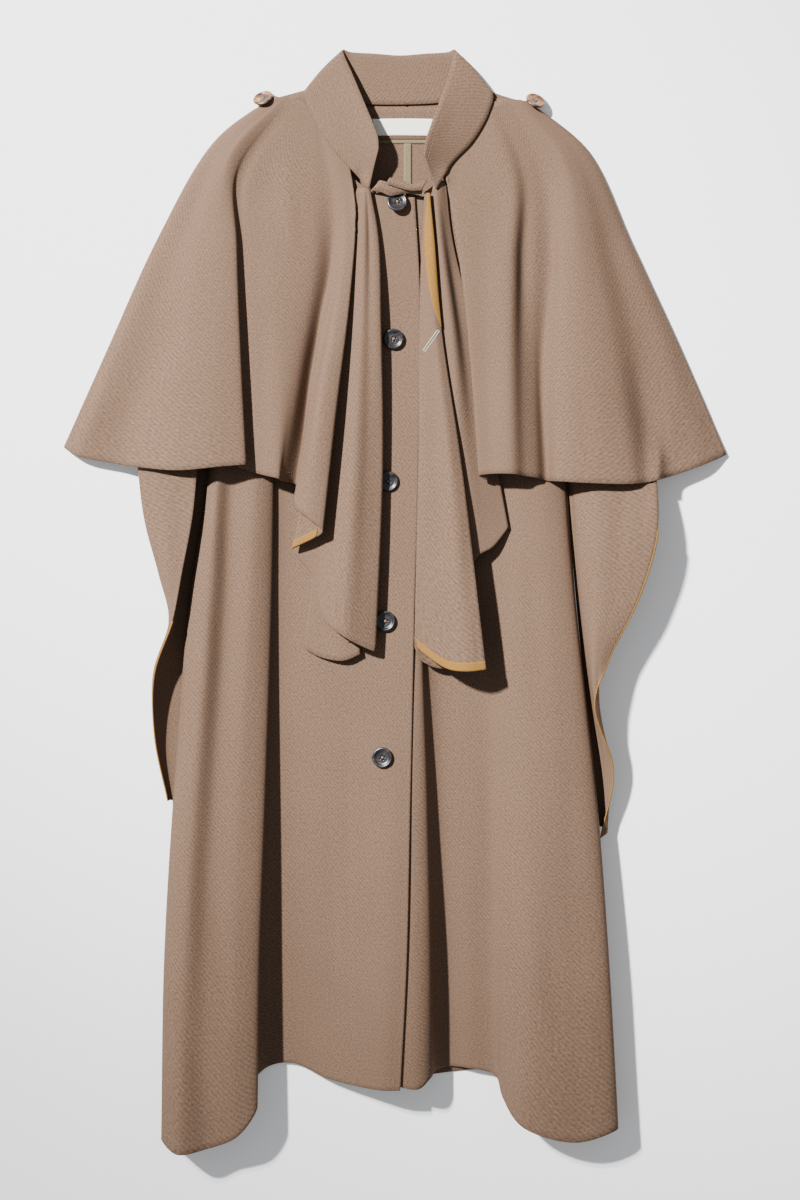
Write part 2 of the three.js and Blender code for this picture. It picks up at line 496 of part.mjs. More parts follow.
// Lowers a whole grid until its wall is just clear of the named pieces under it.
function settle(grid, thickness, onto) {
  const below = coat.children.filter((mesh) => onto.includes(mesh.name));
  const rooms = grid.flat().map((p) => p.z - thickness / 2 - (heightUnder(p.x, p.y, below, p.z) ?? -1000));
  const drop = Math.min(...rooms) - SETTLED_GAP;
  grid.flat().forEach((p) => p.setZ(p.z - drop));
}

const button = buttonShape();
function sewButtons(places) {
  for (const [name, place] of Object.entries(places)) {
    add(name, button, HORN, 0.45, seatOnCloth(place));
  }
}

// The layers go down in the order in which they lie on each other.
const grids = {};
function panel(name, table, options = {}) {
  const { laid = true, onto, color = WOOL, thickness = CLOTH } = options;
  const grid = surface(table);
  if (laid) lay(grid, thickness);
  if (onto) settle(grid, thickness, onto);
  grid.forEach((row) => row.forEach((p) => p.setZ(Math.max(p.z, thickness / 2))));
  grids[name] = grid;
  add(name, wall(grid, thickness), color);
}

panel('cape_back', CAPE_BACK, { laid: false });
panel('back_right', BACK_RIGHT);
panel('back_left', BACK_LEFT, { laid: false });
panel('front_left', FRONT_LEFT);
panel('front_right', FRONT_RIGHT);
sewButtons(FRONT_BUTTONS);
panel('side_right', SIDE_RIGHT, { laid: false });
panel('side_left', SIDE_LEFT, { laid: false });
panel('cascade_left', CASCADE_LEFT, { onto: ['front_left', 'front_right'] });
panel('cape_left', CAPE_LEFT);
panel('cascade_right_tail', CASCADE_RIGHT_TAIL);
panel('cascade_right', CASCADE_RIGHT);
panel('cape_right', CAPE_RIGHT);
sewButtons(SHOULDER_BUTTONS);
panel('collar', COLLAR);
panel('back_facing', BACK_FACING, { laid: false, color: TAPE });
panel('neck_tab', NECK_TAB, {
  laid: false,
  onto: ['collar', 'button_neck', 'cascade_right', 'cascade_left', 'front_right'],
});
panel('neck_band', NECK_BAND, { laid: false, onto: ['neck_tab', 'collar'] });
panel('facing_binding', FACING_BINDING, { laid: false, color: TAPE, thickness: BINDING });
panel('seam_binding', SEAM_BINDING, { laid: false, color: TAPE, thickness: BINDING });
panel('label', NECK_LABEL, { laid: false, color: LABEL, thickness: BINDING });
band('cascade_left_binding', hemBand('cascade_left', 11, 18, EDGE_BAND));
band('cape_right_binding', hemBand('cape_right', 30, 32, EDGE_BAND));
band('side_right_binding', edgeBand('side_right', 6, 12), CLOTH);
band('side_left_binding', edgeBand('side_left', 2, 12), CLOTH);

export default coat;
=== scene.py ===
"""Wool cape coat laid out on its back: the visible cloth, bindings, stitches and buttons.

Tables are in millimetres, in the frame of the part: X right, Y toward the collar, Z up from the ground.
"""

import json
import math

import bpy
import numpy as np
from mathutils import Matrix, Vector

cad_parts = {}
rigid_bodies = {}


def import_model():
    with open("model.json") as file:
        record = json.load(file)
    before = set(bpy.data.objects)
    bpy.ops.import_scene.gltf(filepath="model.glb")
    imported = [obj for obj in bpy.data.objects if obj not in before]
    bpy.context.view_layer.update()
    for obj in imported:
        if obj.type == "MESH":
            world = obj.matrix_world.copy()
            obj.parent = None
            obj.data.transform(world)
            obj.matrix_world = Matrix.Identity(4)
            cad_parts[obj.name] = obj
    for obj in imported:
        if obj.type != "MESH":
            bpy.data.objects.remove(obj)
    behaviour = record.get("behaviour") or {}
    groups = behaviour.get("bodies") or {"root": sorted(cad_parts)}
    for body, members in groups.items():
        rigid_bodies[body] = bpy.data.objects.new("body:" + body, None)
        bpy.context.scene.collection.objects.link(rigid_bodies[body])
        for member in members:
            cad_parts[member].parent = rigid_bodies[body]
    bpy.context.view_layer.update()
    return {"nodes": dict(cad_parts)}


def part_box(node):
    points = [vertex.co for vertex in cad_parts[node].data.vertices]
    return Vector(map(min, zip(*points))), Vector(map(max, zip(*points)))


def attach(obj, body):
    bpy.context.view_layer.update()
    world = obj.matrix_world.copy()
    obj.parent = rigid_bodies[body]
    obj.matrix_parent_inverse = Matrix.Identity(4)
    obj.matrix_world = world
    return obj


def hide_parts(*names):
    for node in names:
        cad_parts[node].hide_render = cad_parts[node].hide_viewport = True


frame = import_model()

MM = 0.001
CLOTH = 1.8  # wall of the wool cloth
BINDING = 1.0  # wall of the narrow bindings and of the label
GAP = 0.3  # clear space between layers
GROUND = CLOTH / 2
SMALLEST_SHEET = 0.01  # metres
CELL = 2.0  # cell of the height map that a layer is laid on
ABOVE = 120.0  # height that rays start from

# Spacing of the meshes: across and along folds, of tapes, of small curled pieces, along bindings.
STEP_ACROSS, STEP_ALONG, TAPE_STEP, CURL_STEP, BAND_STEP = 3.4, 7.0, 2.0, 1.2, 2.5

# Topstitching: its distance from the edge that it follows, and the size of its stitches.
HEM_STITCH, CAPE_STITCH, CASCADE_STITCH = 13.0, 10.0, 8.0
COLLAR_STITCH, WING_STITCH, SHOULDER_STITCH = 9.0, 11.0, 4.0
STITCH = {"length": 2.6, "pitch": 3.6, "width": 0.55}
TACK_STITCH = {"length": 1.4, "pitch": 0.75, "width": 1.4}

# Bindings: where they begin above a hem and end, and what shows of them beside a free edge.
BAND_START, CASCADE_BAND, CAPE_BAND, EDGE_LINE = 0.4, 9.5, 9.0, 1.6
ON_FACE = CLOTH / 2 + BINDING / 2  # from the middle of the cloth to the middle of a binding on it

# Buttons: radii of the disc, of a thread hole and of the thread, and a hole's distance from the middle.
BUTTON_RADIUS, HOLE_RADIUS, THREAD_RADIUS, HOLE_SPREAD = 11.4, 1.05, 0.42, 1.9
DRILL_LENGTH = 12.0  # of the cutters for a button's holes, longer than the button is thick

# The body's fold lines share these heights up the garment between the neck and the hem.
LEVELS = [330, 130, 0, -222, -400]


def on_ground(*points):
    """A fold line that lies on the ground, from the x and y of its stations."""
    return [[x, y, GROUND] for x, y in points]


def line(neck, xs, zs, hem):
    """A fold line: its neck or shoulder end, x and height at each level, and its hem end."""
    return [neck, *[[x, y, z] for x, y, z in zip(xs, LEVELS, zs)], hem]


# Front with the buttonholes, which lies on top.
FRONT_RIGHT = {
    "sideEdge": line([-147, 535, 5.1], [-188, -200, -218, -238, -248], [5.2, 5, 3.6, 3, 3], [-250, -597, 3]),
    "sideRoll": line(
        [-145, 536, 5.5], [-191, -206, -225, -243, -253], [9, 14, 16, 18, 20], [-256, -594, 24]
    ),
    "outerCrest": line(
        [-138, 538, 6], [-180, -196, -205, -221, -232], [12, 26, 33, 38, 44], [-238, -608, 49]
    ),
    "trough": line([-128, 541, 6], [-166, -180, -185, -199, -207], [12, 19, 23, 31, 40], [-206, -602, 45]),
    "innerCrest": line(
        [-116, 546, 6], [-148, -152, -158, -168, -173], [12, 23, 27, 35, 43], [-172, -588, 48]
    ),
    "foldEdge": line([-104, 545, 6], [-134, -134, -136, -143, -149], [10, 15, 17, 27, 35], [-151, -557, 41]),
    "tuck": line([-96, 530, 6], [-134, -136, -138, -148, -156], [7, 10, 10.5, 14, 18], [-160, -540, 20]),
    "valley": line([-90, 515, 6], [-129, -128, -129, -134, -137], [6, 8, 7.5, 6, 4], [-141, -516, 4]),
    "valleyFloor": line(
        [-80, 500, 7], [-112, -117, -116, -115, -113], [6.5, 7, 7, 5.5, 5], [-112, -511, 5]
    ),
    "centreSide": line([-62, 484, 9], [-68, -72, -74, -75, -75], [9, 12, 13, 13.5, 14], [-75, -527, 15]),
    "centre": line([-38, 458, 12], [-36, -38, -38, -38, -38], [12, 15, 16, 21, 27], [-38, -535, 31]),
    "nearEdge": line([-12, 447, 14], [4, 2, 0, -4, -6], [14, 17, 19, 29, 38], [-14, -538, 42]),
    "placketEdge": line([22, 443, 15], [28, 26, 22, 17, 13], [15, 18, 20.5, 31, 40], [6, -538, 44]),
}

# Front that carries the buttons; its first two fold lines lie under the other front.
FRONT_LEFT = {
    "underEdge": line([-18, 444, 10], [-22, -22, -22, -24, -24], [10.5, 12, 13, 20, 27], [-24, -532, 31]),
    "underPlacket": line([0, 442, 11], [6, 5, 4, 2, 0], [11, 13.5, 15, 25, 34], [-2, -533, 38]),
    "crest": line([32, 444, 12], [34, 31, 25, 22, 25], [11, 13, 16.5, 28, 37], [26, -537, 40]),
    "crestEdge": line([44, 450, 12], [43, 38, 29, 34.5, 38.5], [10, 12, 15.5, 23.5, 31], [39, -526, 32]),
    "drop": line([54, 462, 11], [50, 45, 34, 39.5, 44], [9, 10, 10, 11, 13], [45, -519, 13]),
    "valley": line([64, 477, 10], [61, 55, 46, 51, 57], [8, 7, 6, 5.5, 5], [60, -515, 4.5]),
    "flat": line([84, 503, 8], [88, 82, 80, 81, 82], [8, 8.5, 9, 9, 9], [84, -517, 9]),
    "softDip": line([98, 522, 7], [112, 106, 104, 106, 108], [8, 10, 11, 12, 12], [111, -524, 13]),
    "fluteEdge": line([110, 552, 6], [128, 122, 119, 119, 120], [9, 13, 15, 19, 22], [120, -549, 25]),
    "crestLeft": line([122, 551, 6], [146, 144, 143, 147, 150], [11, 18, 22, 32, 40], [140, -578, 43]),
    "crestRight": line([134, 546, 6], [162, 166, 174, 186, 193], [11, 18, 24, 35, 41], [199, -595, 45]),
    "sideRoll": line([146, 541, 5.5], [180, 186, 197, 221, 234], [8, 12, 18, 27, 33], [244, -582, 35]),
    "sideEdge": line([149, 539, 5.1], [183, 190, 198, 218, 229], [5.2, 5, 3.6, 3, 3], [238, -578, 3]),
}

# Halves of the back, meeting at the centre-back seam.
BACK_HEIGHTS = [3, 3, GROUND, GROUND, GROUND]
BACK_RIGHT = {
    "side": line([-150, 537, 3], [-190, -200, -219, -238, -249], BACK_HEIGHTS, [-249, -585, GROUND]),
    "middle": line([-82, 566, 3], [-94, -94, -103, -112, -118], BACK_HEIGHTS, [-120, -508, GROUND]),
    "centreSeam": line([13.4, 546, 3], [13, 12, 10, 8, 6], BACK_HEIGHTS, [4, -528, GROUND]),
}
BACK_LEFT = {
    "centreSeam": line([15.5, 546, 3], [15.1, 14.1, 12.1, 10.1, 8.1], BACK_HEIGHTS, [6.1, -528, GROUND]),
    "middle": line([96, 562, 3], [104, 102, 108, 114, 119], BACK_HEIGHTS, [120, -520, GROUND]),
    "side": line([152, 540, 3], [185, 192, 199, 218, 230], BACK_HEIGHTS, [238, -566, GROUND]),
}

# Cape pieces: stations at the shoulder, yoke, bust, waist and hem of the cape.
CAPE_BACK = {
    "rightSide": on_ground([-132, 554], [-196, 505], [-256, 404], [-316, 273], [-362, 168]),
    "rightHalf": on_ground([-70, 566], [-100, 505], [-130, 400], [-160, 270], [-180, 150]),
    "middle": on_ground([4, 546], [4, 490], [4, 400], [4, 270], [4, 145]),
    "leftHalf": on_ground([80, 564], [110, 500], [135, 395], [162, 265], [180, 145]),
    "leftSide": on_ground([145, 549], [211, 495], [260, 390], [314, 274], [362, 160]),
}
CAPE_RIGHT = {
    "sideEdge": [[-134, 555, 3], [-198, 506, 3], [-258, 405, 3], [-318, 273, 3], [-365, 168, 3]],
    "bump": [[-131, 555, 7], [-195, 505, 7], [-252, 404, 8], [-307, 272, 11], [-350, 159, 14]],
    "outerDip": [[-128, 554, 8], [-188, 502, 11], [-232, 402, 14], [-277, 270, 16], [-306, 150, 18]],
    "mainCrest": [[-124, 554, 8], [-184, 494, 15], [-212, 397, 25], [-226, 268, 34], [-240, 142, 44]],
    "crestInner": [[-121, 554, 8], [-181, 487, 18], [-190, 393, 29], [-190, 265, 39], [-190, 146, 48]],
    "foldEdge": [[-118, 553, 8], [-175, 476, 16], [-174, 389, 27], [-169, 262, 36], [-163, 148, 44]],
    "tuck": [[-115, 552, 8], [-172, 472, 13], [-175, 389, 20], [-175, 262, 27], [-172, 146, 34]],
    "turn": [[-109, 551, 8], [-166, 469, 12], [-168, 388, 18], [-165, 260, 23], [-163, 143, 29]],
    "innerStart": [[-103, 550, 8], [-160, 462, 14], [-157, 387, 20], [-151, 258, 25], [-148, 138, 31]],
    "innerCrest": [[-93, 545, 8.5], [-130, 455, 16], [-127, 380, 23], [-124, 254, 29], [-128, 133, 36]],
    "rollOff": [[-89, 535, 9.5], [-90, 450, 16.5], [-88, 372, 22], [-106, 252, 24], [-125, 131, 31]],
    "dip": [[-84, 524, 10.5], [-69, 445, 14], [-71, 361, 12.5], [-91, 250, 8.5], [-108, 126, 14]],
    "rise": [[-76, 512, 12], [-60, 441, 17], [-65, 352, 20], [-87, 238, 24], [-110, 103, 33]],
    "cascadeCrest": [[-65, 495, 14], [-53, 437, 19], [-60, 341, 28], [-81, 216, 44], [-97, 91, 45]],
    "cascadeEdge": [[-49, 475, 15.5], [-43, 431, 19.5], [-49, 336, 29], [-64.5, 206, 42], [-79, 75, 46]],
    "underEdge": [[-56, 480, 14.5], [-48, 430, 17], [-55, 336, 25], [-72, 203, 36], [-85, 69, 39]],
    "underEnd": [[-64, 484, 13.5], [-58, 430, 15.5], [-66, 336, 22], [-84, 200, 31], [-112, 56, 31]],
}
CAPE_LEFT = {
    "sideEdge": [[148, 549, 3], [212, 497, 3], [262, 392, 3], [316, 275, 3], [366, 160, 3]],
    "bump": [[145, 550, 7], [207, 496, 7], [255, 391, 8], [302, 272, 11], [338, 148, 15]],
    "outerDip": [[142, 550, 8], [200, 492, 11], [236, 388, 15], [267, 268, 19], [287, 131, 24]],
    "crestOuter": [[139, 551, 8], [193, 488, 15], [218, 385, 25], [240, 265, 34], [261, 127, 43]],
    "crestInner": [[135, 551, 8], [186, 482, 18], [200, 382, 29], [206, 262, 39], [211, 128, 47]],
    "creaseEdge": [[131, 552, 8], [178, 475, 16], [184, 380, 25], [181, 260, 33], [179, 130, 40]],
    "crevice": [[127, 552, 8], [163, 470, 11.5], [173, 378, 13.5], [163, 258, 16], [168, 131, 19.5]],
    "slope": [[119, 552, 8], [151, 468, 12], [153, 376, 16.5], [153, 256, 21.5], [156, 134, 29.5]],
    "step": [[111, 549, 8], [142, 466, 13.5], [141, 375, 17.5], [140, 255, 28], [142, 136, 36]],
    "frontCrest": [[103, 545, 8.5], [130, 464, 19.5], [129, 374, 29], [127, 254, 38], [129, 138, 44]],
    "frontDip": [[84, 511, 11], [98, 456, 18], [100, 368, 25], [102, 252, 31], [105, 138, 38]],
    "frontEdge": [[56, 470, 14], [62, 438, 17], [76, 342, 23], [85, 250, 29], [93, 136, 35]],
    "underEdge": [[59, 469, 12], [66, 438, 14.5], [82, 342, 18], [93, 250, 23], [103, 131, 29]],
}

# Ruffled bands on the front edges of the cape: stations from the throat to the hem of the band.
CASCADE_RIGHT = {
    "backEdge": [[-41, 453, 17], [-52, 400, 16.5], [-74, 300, 17], [-97, 150, 19], [-111, 52, 21]],
    "backDip": [[-38, 453, 18], [-45, 400, 16], [-58, 300, 20], [-77, 150, 23], [-91, 27, 24]],
    "ruffleLeft": [[-35, 453, 19], [-39, 400, 20.5], [-46, 300, 24], [-59, 150, 30], [-77, -22, 31]],
    "ruffleCrest": [[-33, 453, 20], [-33, 400, 22.5], [-36, 300, 30], [-44, 150, 38], [-56, -40, 42]],
    "softTrough": [[-31, 453, 20], [-28, 400, 20], [-28, 300, 28], [-30, 150, 33], [-38, -50, 38]],
    "rightCrest": [[-29, 452, 20], [-23, 400, 21.5], [-20, 300, 28.5], [-19, 150, 30.5], [-27, -55, 35]],
    "rightEdge": [[-27, 451, 19], [-18, 400, 20], [-15, 300, 27], [-13, 150, 29], [-21, -57, 33]],
    "underTurn": [[-28, 450, 18], [-20, 400, 17], [-18, 300, 22], [-17, 150, 24], [-24, -53, 28]],
    "underEnd": [[-33, 450, 17], [-33, 400, 15.5], [-34, 300, 17], [-38, 150, 18.5], [-52, -46, 21.5]],
}
CASCADE_RIGHT_TAIL = {
    "left": [[-91, 24, 16], [-93, -2, 15.5], [-97, -30, 15], [-99, -54, 14.5]],
    "fold": [[-80, 20, 20], [-81, -8, 19.5], [-82, -36, 18.5], [-82, -63, 18]],
    "crest": [[-64, 14, 22], [-62, -14, 23], [-60, -42, 24.5], [-56, -67, 25]],
    "right": [[-50, 2, 21.5], [-45, -18, 23], [-41, -40, 25], [-38, -60, 26]],
}
CASCADE_LEFT = {
    "outerFold": [[56, 462, 13], [63, 400, 12], [86, 300, 12], [112, 150, 17], [125, 79, 20]],
    "outerMiddle": [[50, 460, 17], [57, 400, 15.5], [73, 300, 15], [93, 150, 22], [108, 58, 25]],
    "outerLeft": [[45, 457, 17.5], [50, 400, 21], [63, 300, 24.5], [76, 150, 27], [89, 45, 29]],
    "underMiddle": [[41, 454, 16], [42, 400, 16], [45, 300, 17], [52, 150, 18], [60, -74, 20]],
    "underLeft": [[37, 451, 16], [35, 400, 17], [34, 300, 18], [34, 150, 19], [31, -68, 20]],
    "turn": [[34, 449, 18], [31, 400, 18.5], [28, 300, 20], [27, 150, 22], [22, -50, 23]],
    "faceLeft": [[34, 448, 20.5], [33, 400, 20.5], [33, 300, 22.5], [33, 150, 25], [31, -58, 27]],
    "faceMiddle": [[36, 447, 21], [37, 400, 23], [40, 300, 26], [49, 150, 30], [58, -76, 40]],
    "faceCrest": [[37, 447, 21.5], [40, 400, 24], [45, 300, 27.5], [60, 150, 38], [80, -79, 51]],
    "freeEdge": [[38, 447, 21], [43, 400, 23.5], [51, 300, 25.5], [73, 150, 34], [100, -77, 51]],
}

# Side wings: stations from under the cape hem, past the twist, to the end of the lobe.
SIDE_RIGHT = {
    "seamEdge": [
        [-202.6, 160, 6.2], [-208.8, 90, 5.4], [-216.8, 30, 4.6], [-223.2, -22, 4.2], [-229.4, -80, 4],
        [-235.2, -150, 4], [-240.8, -221, 4]
    ],
    "lower": [
        [-240, 160, 6.8], [-238, 90, 6.5], [-236, 30, 7], [-238, -23, 8], [-250, -80, 6.5],
        [-251, -150, 5], [-246, -221, 4.5]
    ],
    "fold": [
        [-284, 160, 14], [-275, 88, 18], [-259, 28, 22], [-247, -24, 24], [-262, -80, 14],
        [-260, -148, 8.5], [-249, -221, 6]
    ],
    "top": [
        [-262, 160, 26], [-254, 90, 31], [-250, 32, 35], [-247, -24, 33], [-265, -81, 22],
        [-263, -149, 13.5], [-250, -222, 8]
    ],
    "freeEdge": [
        [-216, 160, 30], [-222, 92, 36], [-233, 32, 39], [-244, -24, 39], [-264, -82, 30],
        [-264, -150, 19], [-250, -222, 10]
    ],
}
SIDE_LEFT = {
    "seamEdge": [
        [191, 160, 5.6], [195.4, 70, 5.2], [200.6, 5, 4.8], [206.6, -60, 4.4], [211.6, -110, 4.2],
        [217.6, -180, 4], [222.8, -250, 4]
    ],
    "crevice": [
        [193, 160, 9], [198, 70, 8], [203, 5, 8], [210, -60, 8], [216, -110, 8], [224, -180, 6],
        [228, -250, 5.5]
    ],
    "inner": [
        [196, 160, 17], [203, 70, 22], [207, 5, 24], [212, -60, 24], [219, -111, 24], [229, -180, 12],
        [231, -252, 8]
    ],
    "crest": [
        [215, 160, 28], [222, 72, 37], [222, 5, 39], [218, -62, 41], [221, -112, 40], [233, -182, 20],
        [233, -254, 11]
    ],
    "outer": [
        [256, 160, 26], [256, 74, 41], [245, 5, 42], [226, -64, 42], [224, -113, 41], [236, -184, 24],
        [234, -257, 13]
    ],
    "freeEdge": [
        [286, 160, 22], [288, 76, 43], [268, 4, 43], [234, -66, 40], [220, -115, 46], [240, -188, 26],
        [228, -262, 15]
    ],
}

# Standing collar, round the neck from its right front end to its left one: seam, middle and top edge.
COLLAR = {
    "rightEnd": [[-28, 452, 18], [-23, 474, 25], [-17.5, 495, 31]],
    "rightLow": [[-42, 468, 16.5], [-32, 489, 24], [-18.5, 508, 31]],
    "rightFront": [[-68, 497, 15], [-53, 523, 20], [-34, 548, 24]],
    "rightUpper": [[-89, 530, 13], [-70, 555, 16], [-46, 577, 18]],
    "rightTurn": [[-99, 561, 10.5], [-80, 584, 11], [-57, 606, 10]],
    "rightBack": [[-84, 558, 6.6], [-68, 580, 6.6], [-50, 604, 6.6]],
    "back": [[-40, 548, 6.2], [-30, 576, 6.2], [-22, 602, 6.2]],
    "middleBack": [[8, 546.5, 6.2], [7, 574, 6.2], [6, 600, 6.2]],
    "leftBack": [[56, 549, 6.2], [45, 576, 6.2], [34, 602, 6.2]],
    "leftCorner": [[94, 556, 6.6], [76, 580, 6.6], [60, 604, 6.6]],
    "leftTurn": [[108, 558, 10.5], [88, 584, 11], [66, 606, 10]],
    "leftUpper": [[103, 535, 13], [82, 555, 16], [58, 572, 18]],
    "leftFront": [[85, 504, 15], [67, 524, 20], [49, 545, 24]],
    "leftLow": [[63, 480, 16.5], [48, 493, 24], [34.5, 504, 31]],
    "leftEnd": [[46, 452, 18], [38.5, 470, 25], [32.5, 489, 31]],
}

# Small pieces at the neck.
NECK_TAB = {
    "right": [[-25.5, 450.5, 21.5], [-23, 453, 23], [-19, 456.5, 22.5]],
    "crease": [[-14, 448.4, 22.5], [-15, 454, 25], [-16.5, 460.5, 24.5]],
    "middle": [[-5, 444.6, 22.5], [-5, 451, 25.5], [-6.5, 458.5, 25]],
    "left": [[12, 447.4, 22.5], [12, 450.6, 25], [12, 454.5, 24.5]],
    "end": [[29.5, 446.4, 21.5], [30, 449, 23], [30.5, 452.4, 22.5]],
}
NECK_BAND = {
    "right": [[-7.4, 457, 30], [-7, 460.2, 31.5], [-5, 463.5, 30.5]],
    "middle": [[6, 452.6, 30], [6.5, 456, 31.5], [7.5, 460.4, 30.5]],
    "left": [[18, 449.8, 30], [19, 452.8, 31.5], [20.5, 456.2, 30.5]],
    "end": [[29.5, 450, 30], [32, 455, 31], [35.5, 461, 29.5]],
}
BACK_FACING = {
    "right": [[-60, 543, 5.1], [-52, 525, 5.1], [-38, 508, 5.1]],
    "middle": [[8, 543, 5.1], [8, 525, 5.1], [8, 508, 5.1]],
    "left": [[76, 543, 5.1], [68, 525, 5.1], [52, 508, 5.1]],
}
FACING_BINDING = {
    "right": [[-40, 507.2, 4.8], [-40, 503.6, 4.8]],
    "middle": [[8, 507.2, 4.8], [8, 503.6, 4.8]],
    "left": [[54, 507.2, 4.8], [54, 503.6, 4.8]],
}
SEAM_BINDING = {
    "right": [[10.4, 503, 4.8], [10.4, 480, 4.8], [10.4, 456, 4.8]],
    "left": [[18.4, 503, 4.8], [18.4, 480, 4.8], [18.4, 456, 4.8]],
}
NECK_LABEL = {
    "right": [[-25, 530, 6.8], [-25, 512, 6.8]],
    "middle": [[8, 530.4, 6.8], [8, 512.4, 6.8]],
    "left": [[42, 530, 6.8], [42, 512, 6.8]],
}

# Soft creases: x0, y0, x1, y1, half width, height.
FRONT_RIGHT_CREASES = [
    (-242, -430, -205, -560, 15, -1.6),
    (-232, -250, -222, -420, 12, 1.0),
    (-196, -300, -182, -480, 11, -1.3),
    (-210, 60, -196, -60, 10, -0.9),
    (-92, 60, -84, -90, 12, 0.8),
    (-52, -120, -50, -520, 6, -0.6),
    (-70, -260, -64, -470, 10, -0.9),
    (-30, 262, -62, 244, 7, -0.7),
    (-34, 110, -70, 96, 7, -0.6),
]
FRONT_LEFT_CREASES = [
    (117, -280, 123, -430, 9, -1.4),
    (166, -330, 180, -500, 13, -1.2),
    (206, -180, 216, -330, 12, 1.0),
    (150, 40, 158, -120, 12, -0.8),
    (90, -150, 96, -330, 9, 0.7),
    (226, -420, 232, -540, 10, -0.9),
]
CAPE_RIGHT_CREASES = [
    (-225, 350, -300, 172, 16, -2.0),
    (-196, 430, -250, 330, 14, -0.9),
    (-318, 235, -345, 172, 10, 1.0),
    (-128, 505, -150, 420, 13, -1.0),
    (-140, 330, -146, 200, 9, -0.8),
    (-300, 176, -292, 150, 6, -1.2),
    (-262, 170, -258, 148, 5, -0.9),
    (-120, 470, -112, 380, 8, 0.8),
]
CAPE_LEFT_CREASES = [
    (262, 260, 285, 135, 13, -2.0),
    (341, 205, 366, 170, 8, -1.6),
    (232, 420, 262, 300, 16, -1.1),
    (300, 230, 312, 150, 9, 1.0),
    (205, 240, 214, 150, 10, -0.9),
    (120, 470, 118, 380, 10, -0.8),
    (196, 470, 232, 400, 12, 0.8),
]
COLLAR_CREASES = [(-70, 560, -40, 520, 7, -0.5), (70, 540, 52, 500, 7, -0.5)]
SIDE_CREASES = [
    (-232, 120, -246, 20, 8, -0.8),
    (252, 130, 240, 20, 9, -0.9),
    (286, 140, 280, 60, 6, 0.8),
]
BACK_RIGHT_CREASES = [
    (-120, 300, -140, 60, 16, 0.7),
    (-90, -100, -112, -360, 14, 0.6),
    (-190, -60, -205, -330, 12, 0.5),
]
BACK_LEFT_CREASES = [
    (120, 260, 134, 20, 15, 0.6),
    (86, -140, 98, -400, 13, 0.7),
    (186, 40, 204, -240, 12, 0.5),
]
CAPE_BACK_CREASES = [
    (-180, 420, -250, 220, 15, 0.6),
    (190, 400, 246, 240, 14, 0.6),
    (-60, 440, -74, 250, 12, 0.5),
]


# Geometry of laid cloth


def spline(points, at):
    """Centripetal Catmull-Rom curves through points, sampled at the parameters at."""
    points = np.asarray(points, float)
    ends = 2 * points[0] - points[1], 2 * points[-1] - points[-2]
    padded = np.concatenate([ends[0][None], points, ends[1][None]])
    start = np.minimum(np.floor(at).astype(int), len(points) - 2)
    w = (at - start).reshape((-1,) + (1,) * (points.ndim - 1))
    p0, p1, p2, p3 = (padded[start + k] for k in range(4))

    def root(a, b):
        return np.sqrt(np.linalg.norm(b - a, axis=-1, keepdims=True) + 1e-6)

    d0, d1, d2 = root(p0, p1), root(p1, p2), root(p2, p3)
    t1 = ((p1 - p0) / d0 - (p2 - p0) / (d0 + d1) + (p2 - p1) / d1) * d1
    t2 = ((p2 - p1) / d1 - (p3 - p1) / (d1 + d2) + (p3 - p2) / d2) * d1
    return (
        (2 * w**3 - 3 * w**2 + 1) * p1
        + (w**3 - 2 * w**2 + w) * t1
        + (3 * w**2 - 2 * w**3) * p2
        + (w**3 - w**2) * t2
    )


def parameters(points, step):
    """Curve parameters about a step apart, for a stack of curves through points."""
    lengths = np.linalg.norm(np.diff(points, axis=0), axis=-1)
    lengths = lengths.reshape(len(points) - 1, -1).max(axis=1)
    at = [0.0]
    for k, length in enumerate(lengths):
        count = max(2, math.ceil(length / step))
        at += [k + (n + 1) / count for n in range(count)]
    return np.array(at)


def surface(table, across=STEP_ACROSS, along=STEP_ALONG):
    """Grid [across, along] of the middle of a cloth, and the rows and columns of its folds and stations."""
    lines = np.array(list(table.values()), float)
    stations = lines.transpose(1, 0, 2)
    at_along = parameters(stations, along)
    lines = spline(stations, at_along).transpose(1, 0, 2)
    at_across = parameters(lines, across)
    rows = {fold: int(np.argmin(abs(at_across - k))) for k, fold in enumerate(table)}
    columns = [int(np.argmin(abs(at_along - k))) for k in range(len(stations))]
    return spline(lines, at_across), rows, columns


def unit(vectors):
    return vectors / np.maximum(np.linalg.norm(vectors, axis=-1, keepdims=True), 1e-9)


def patches(grid):
    """Normals of a grid, each as long as the area round its point."""
    return np.cross(np.gradient(grid, axis=0), np.gradient(grid, axis=1))


LOW = np.array([-420.0, -660.0])  # lowest corner of the height map; its highest one is opposite
heights = np.zeros((-2 * LOW / CELL).astype(int))


def refine(grid, times):
    """Grid with bilinear points added between its own."""
    for axis in (0, 1):
        n = grid.shape[axis]
        at = np.linspace(0, n - 1, (n - 1) * times + 1)
        low = np.minimum(at.astype(int), n - 2)
        w = (at - low).reshape((-1, 1, 1) if axis == 0 else (1, -1, 1))
        grid = np.take(grid, low, axis) * (1 - w) + np.take(grid, low + 1, axis) * w
    return grid


def cells(x, y):
    """Cells of the height map at these places."""
    i = np.clip(((x - LOW[0]) / CELL).astype(int), 0, heights.shape[0] - 1)
    j = np.clip(((y - LOW[1]) / CELL).astype(int), 0, heights.shape[1] - 1)
    return i, j


def add_to_heights(grid, thickness):
    """Enters the top of a wall in the height map."""
    fine = refine(grid, 4)
    i, j = cells(fine[..., 0], fine[..., 1])
    np.maximum.at(heights, (i, j), fine[..., 2] + thickness / 2)


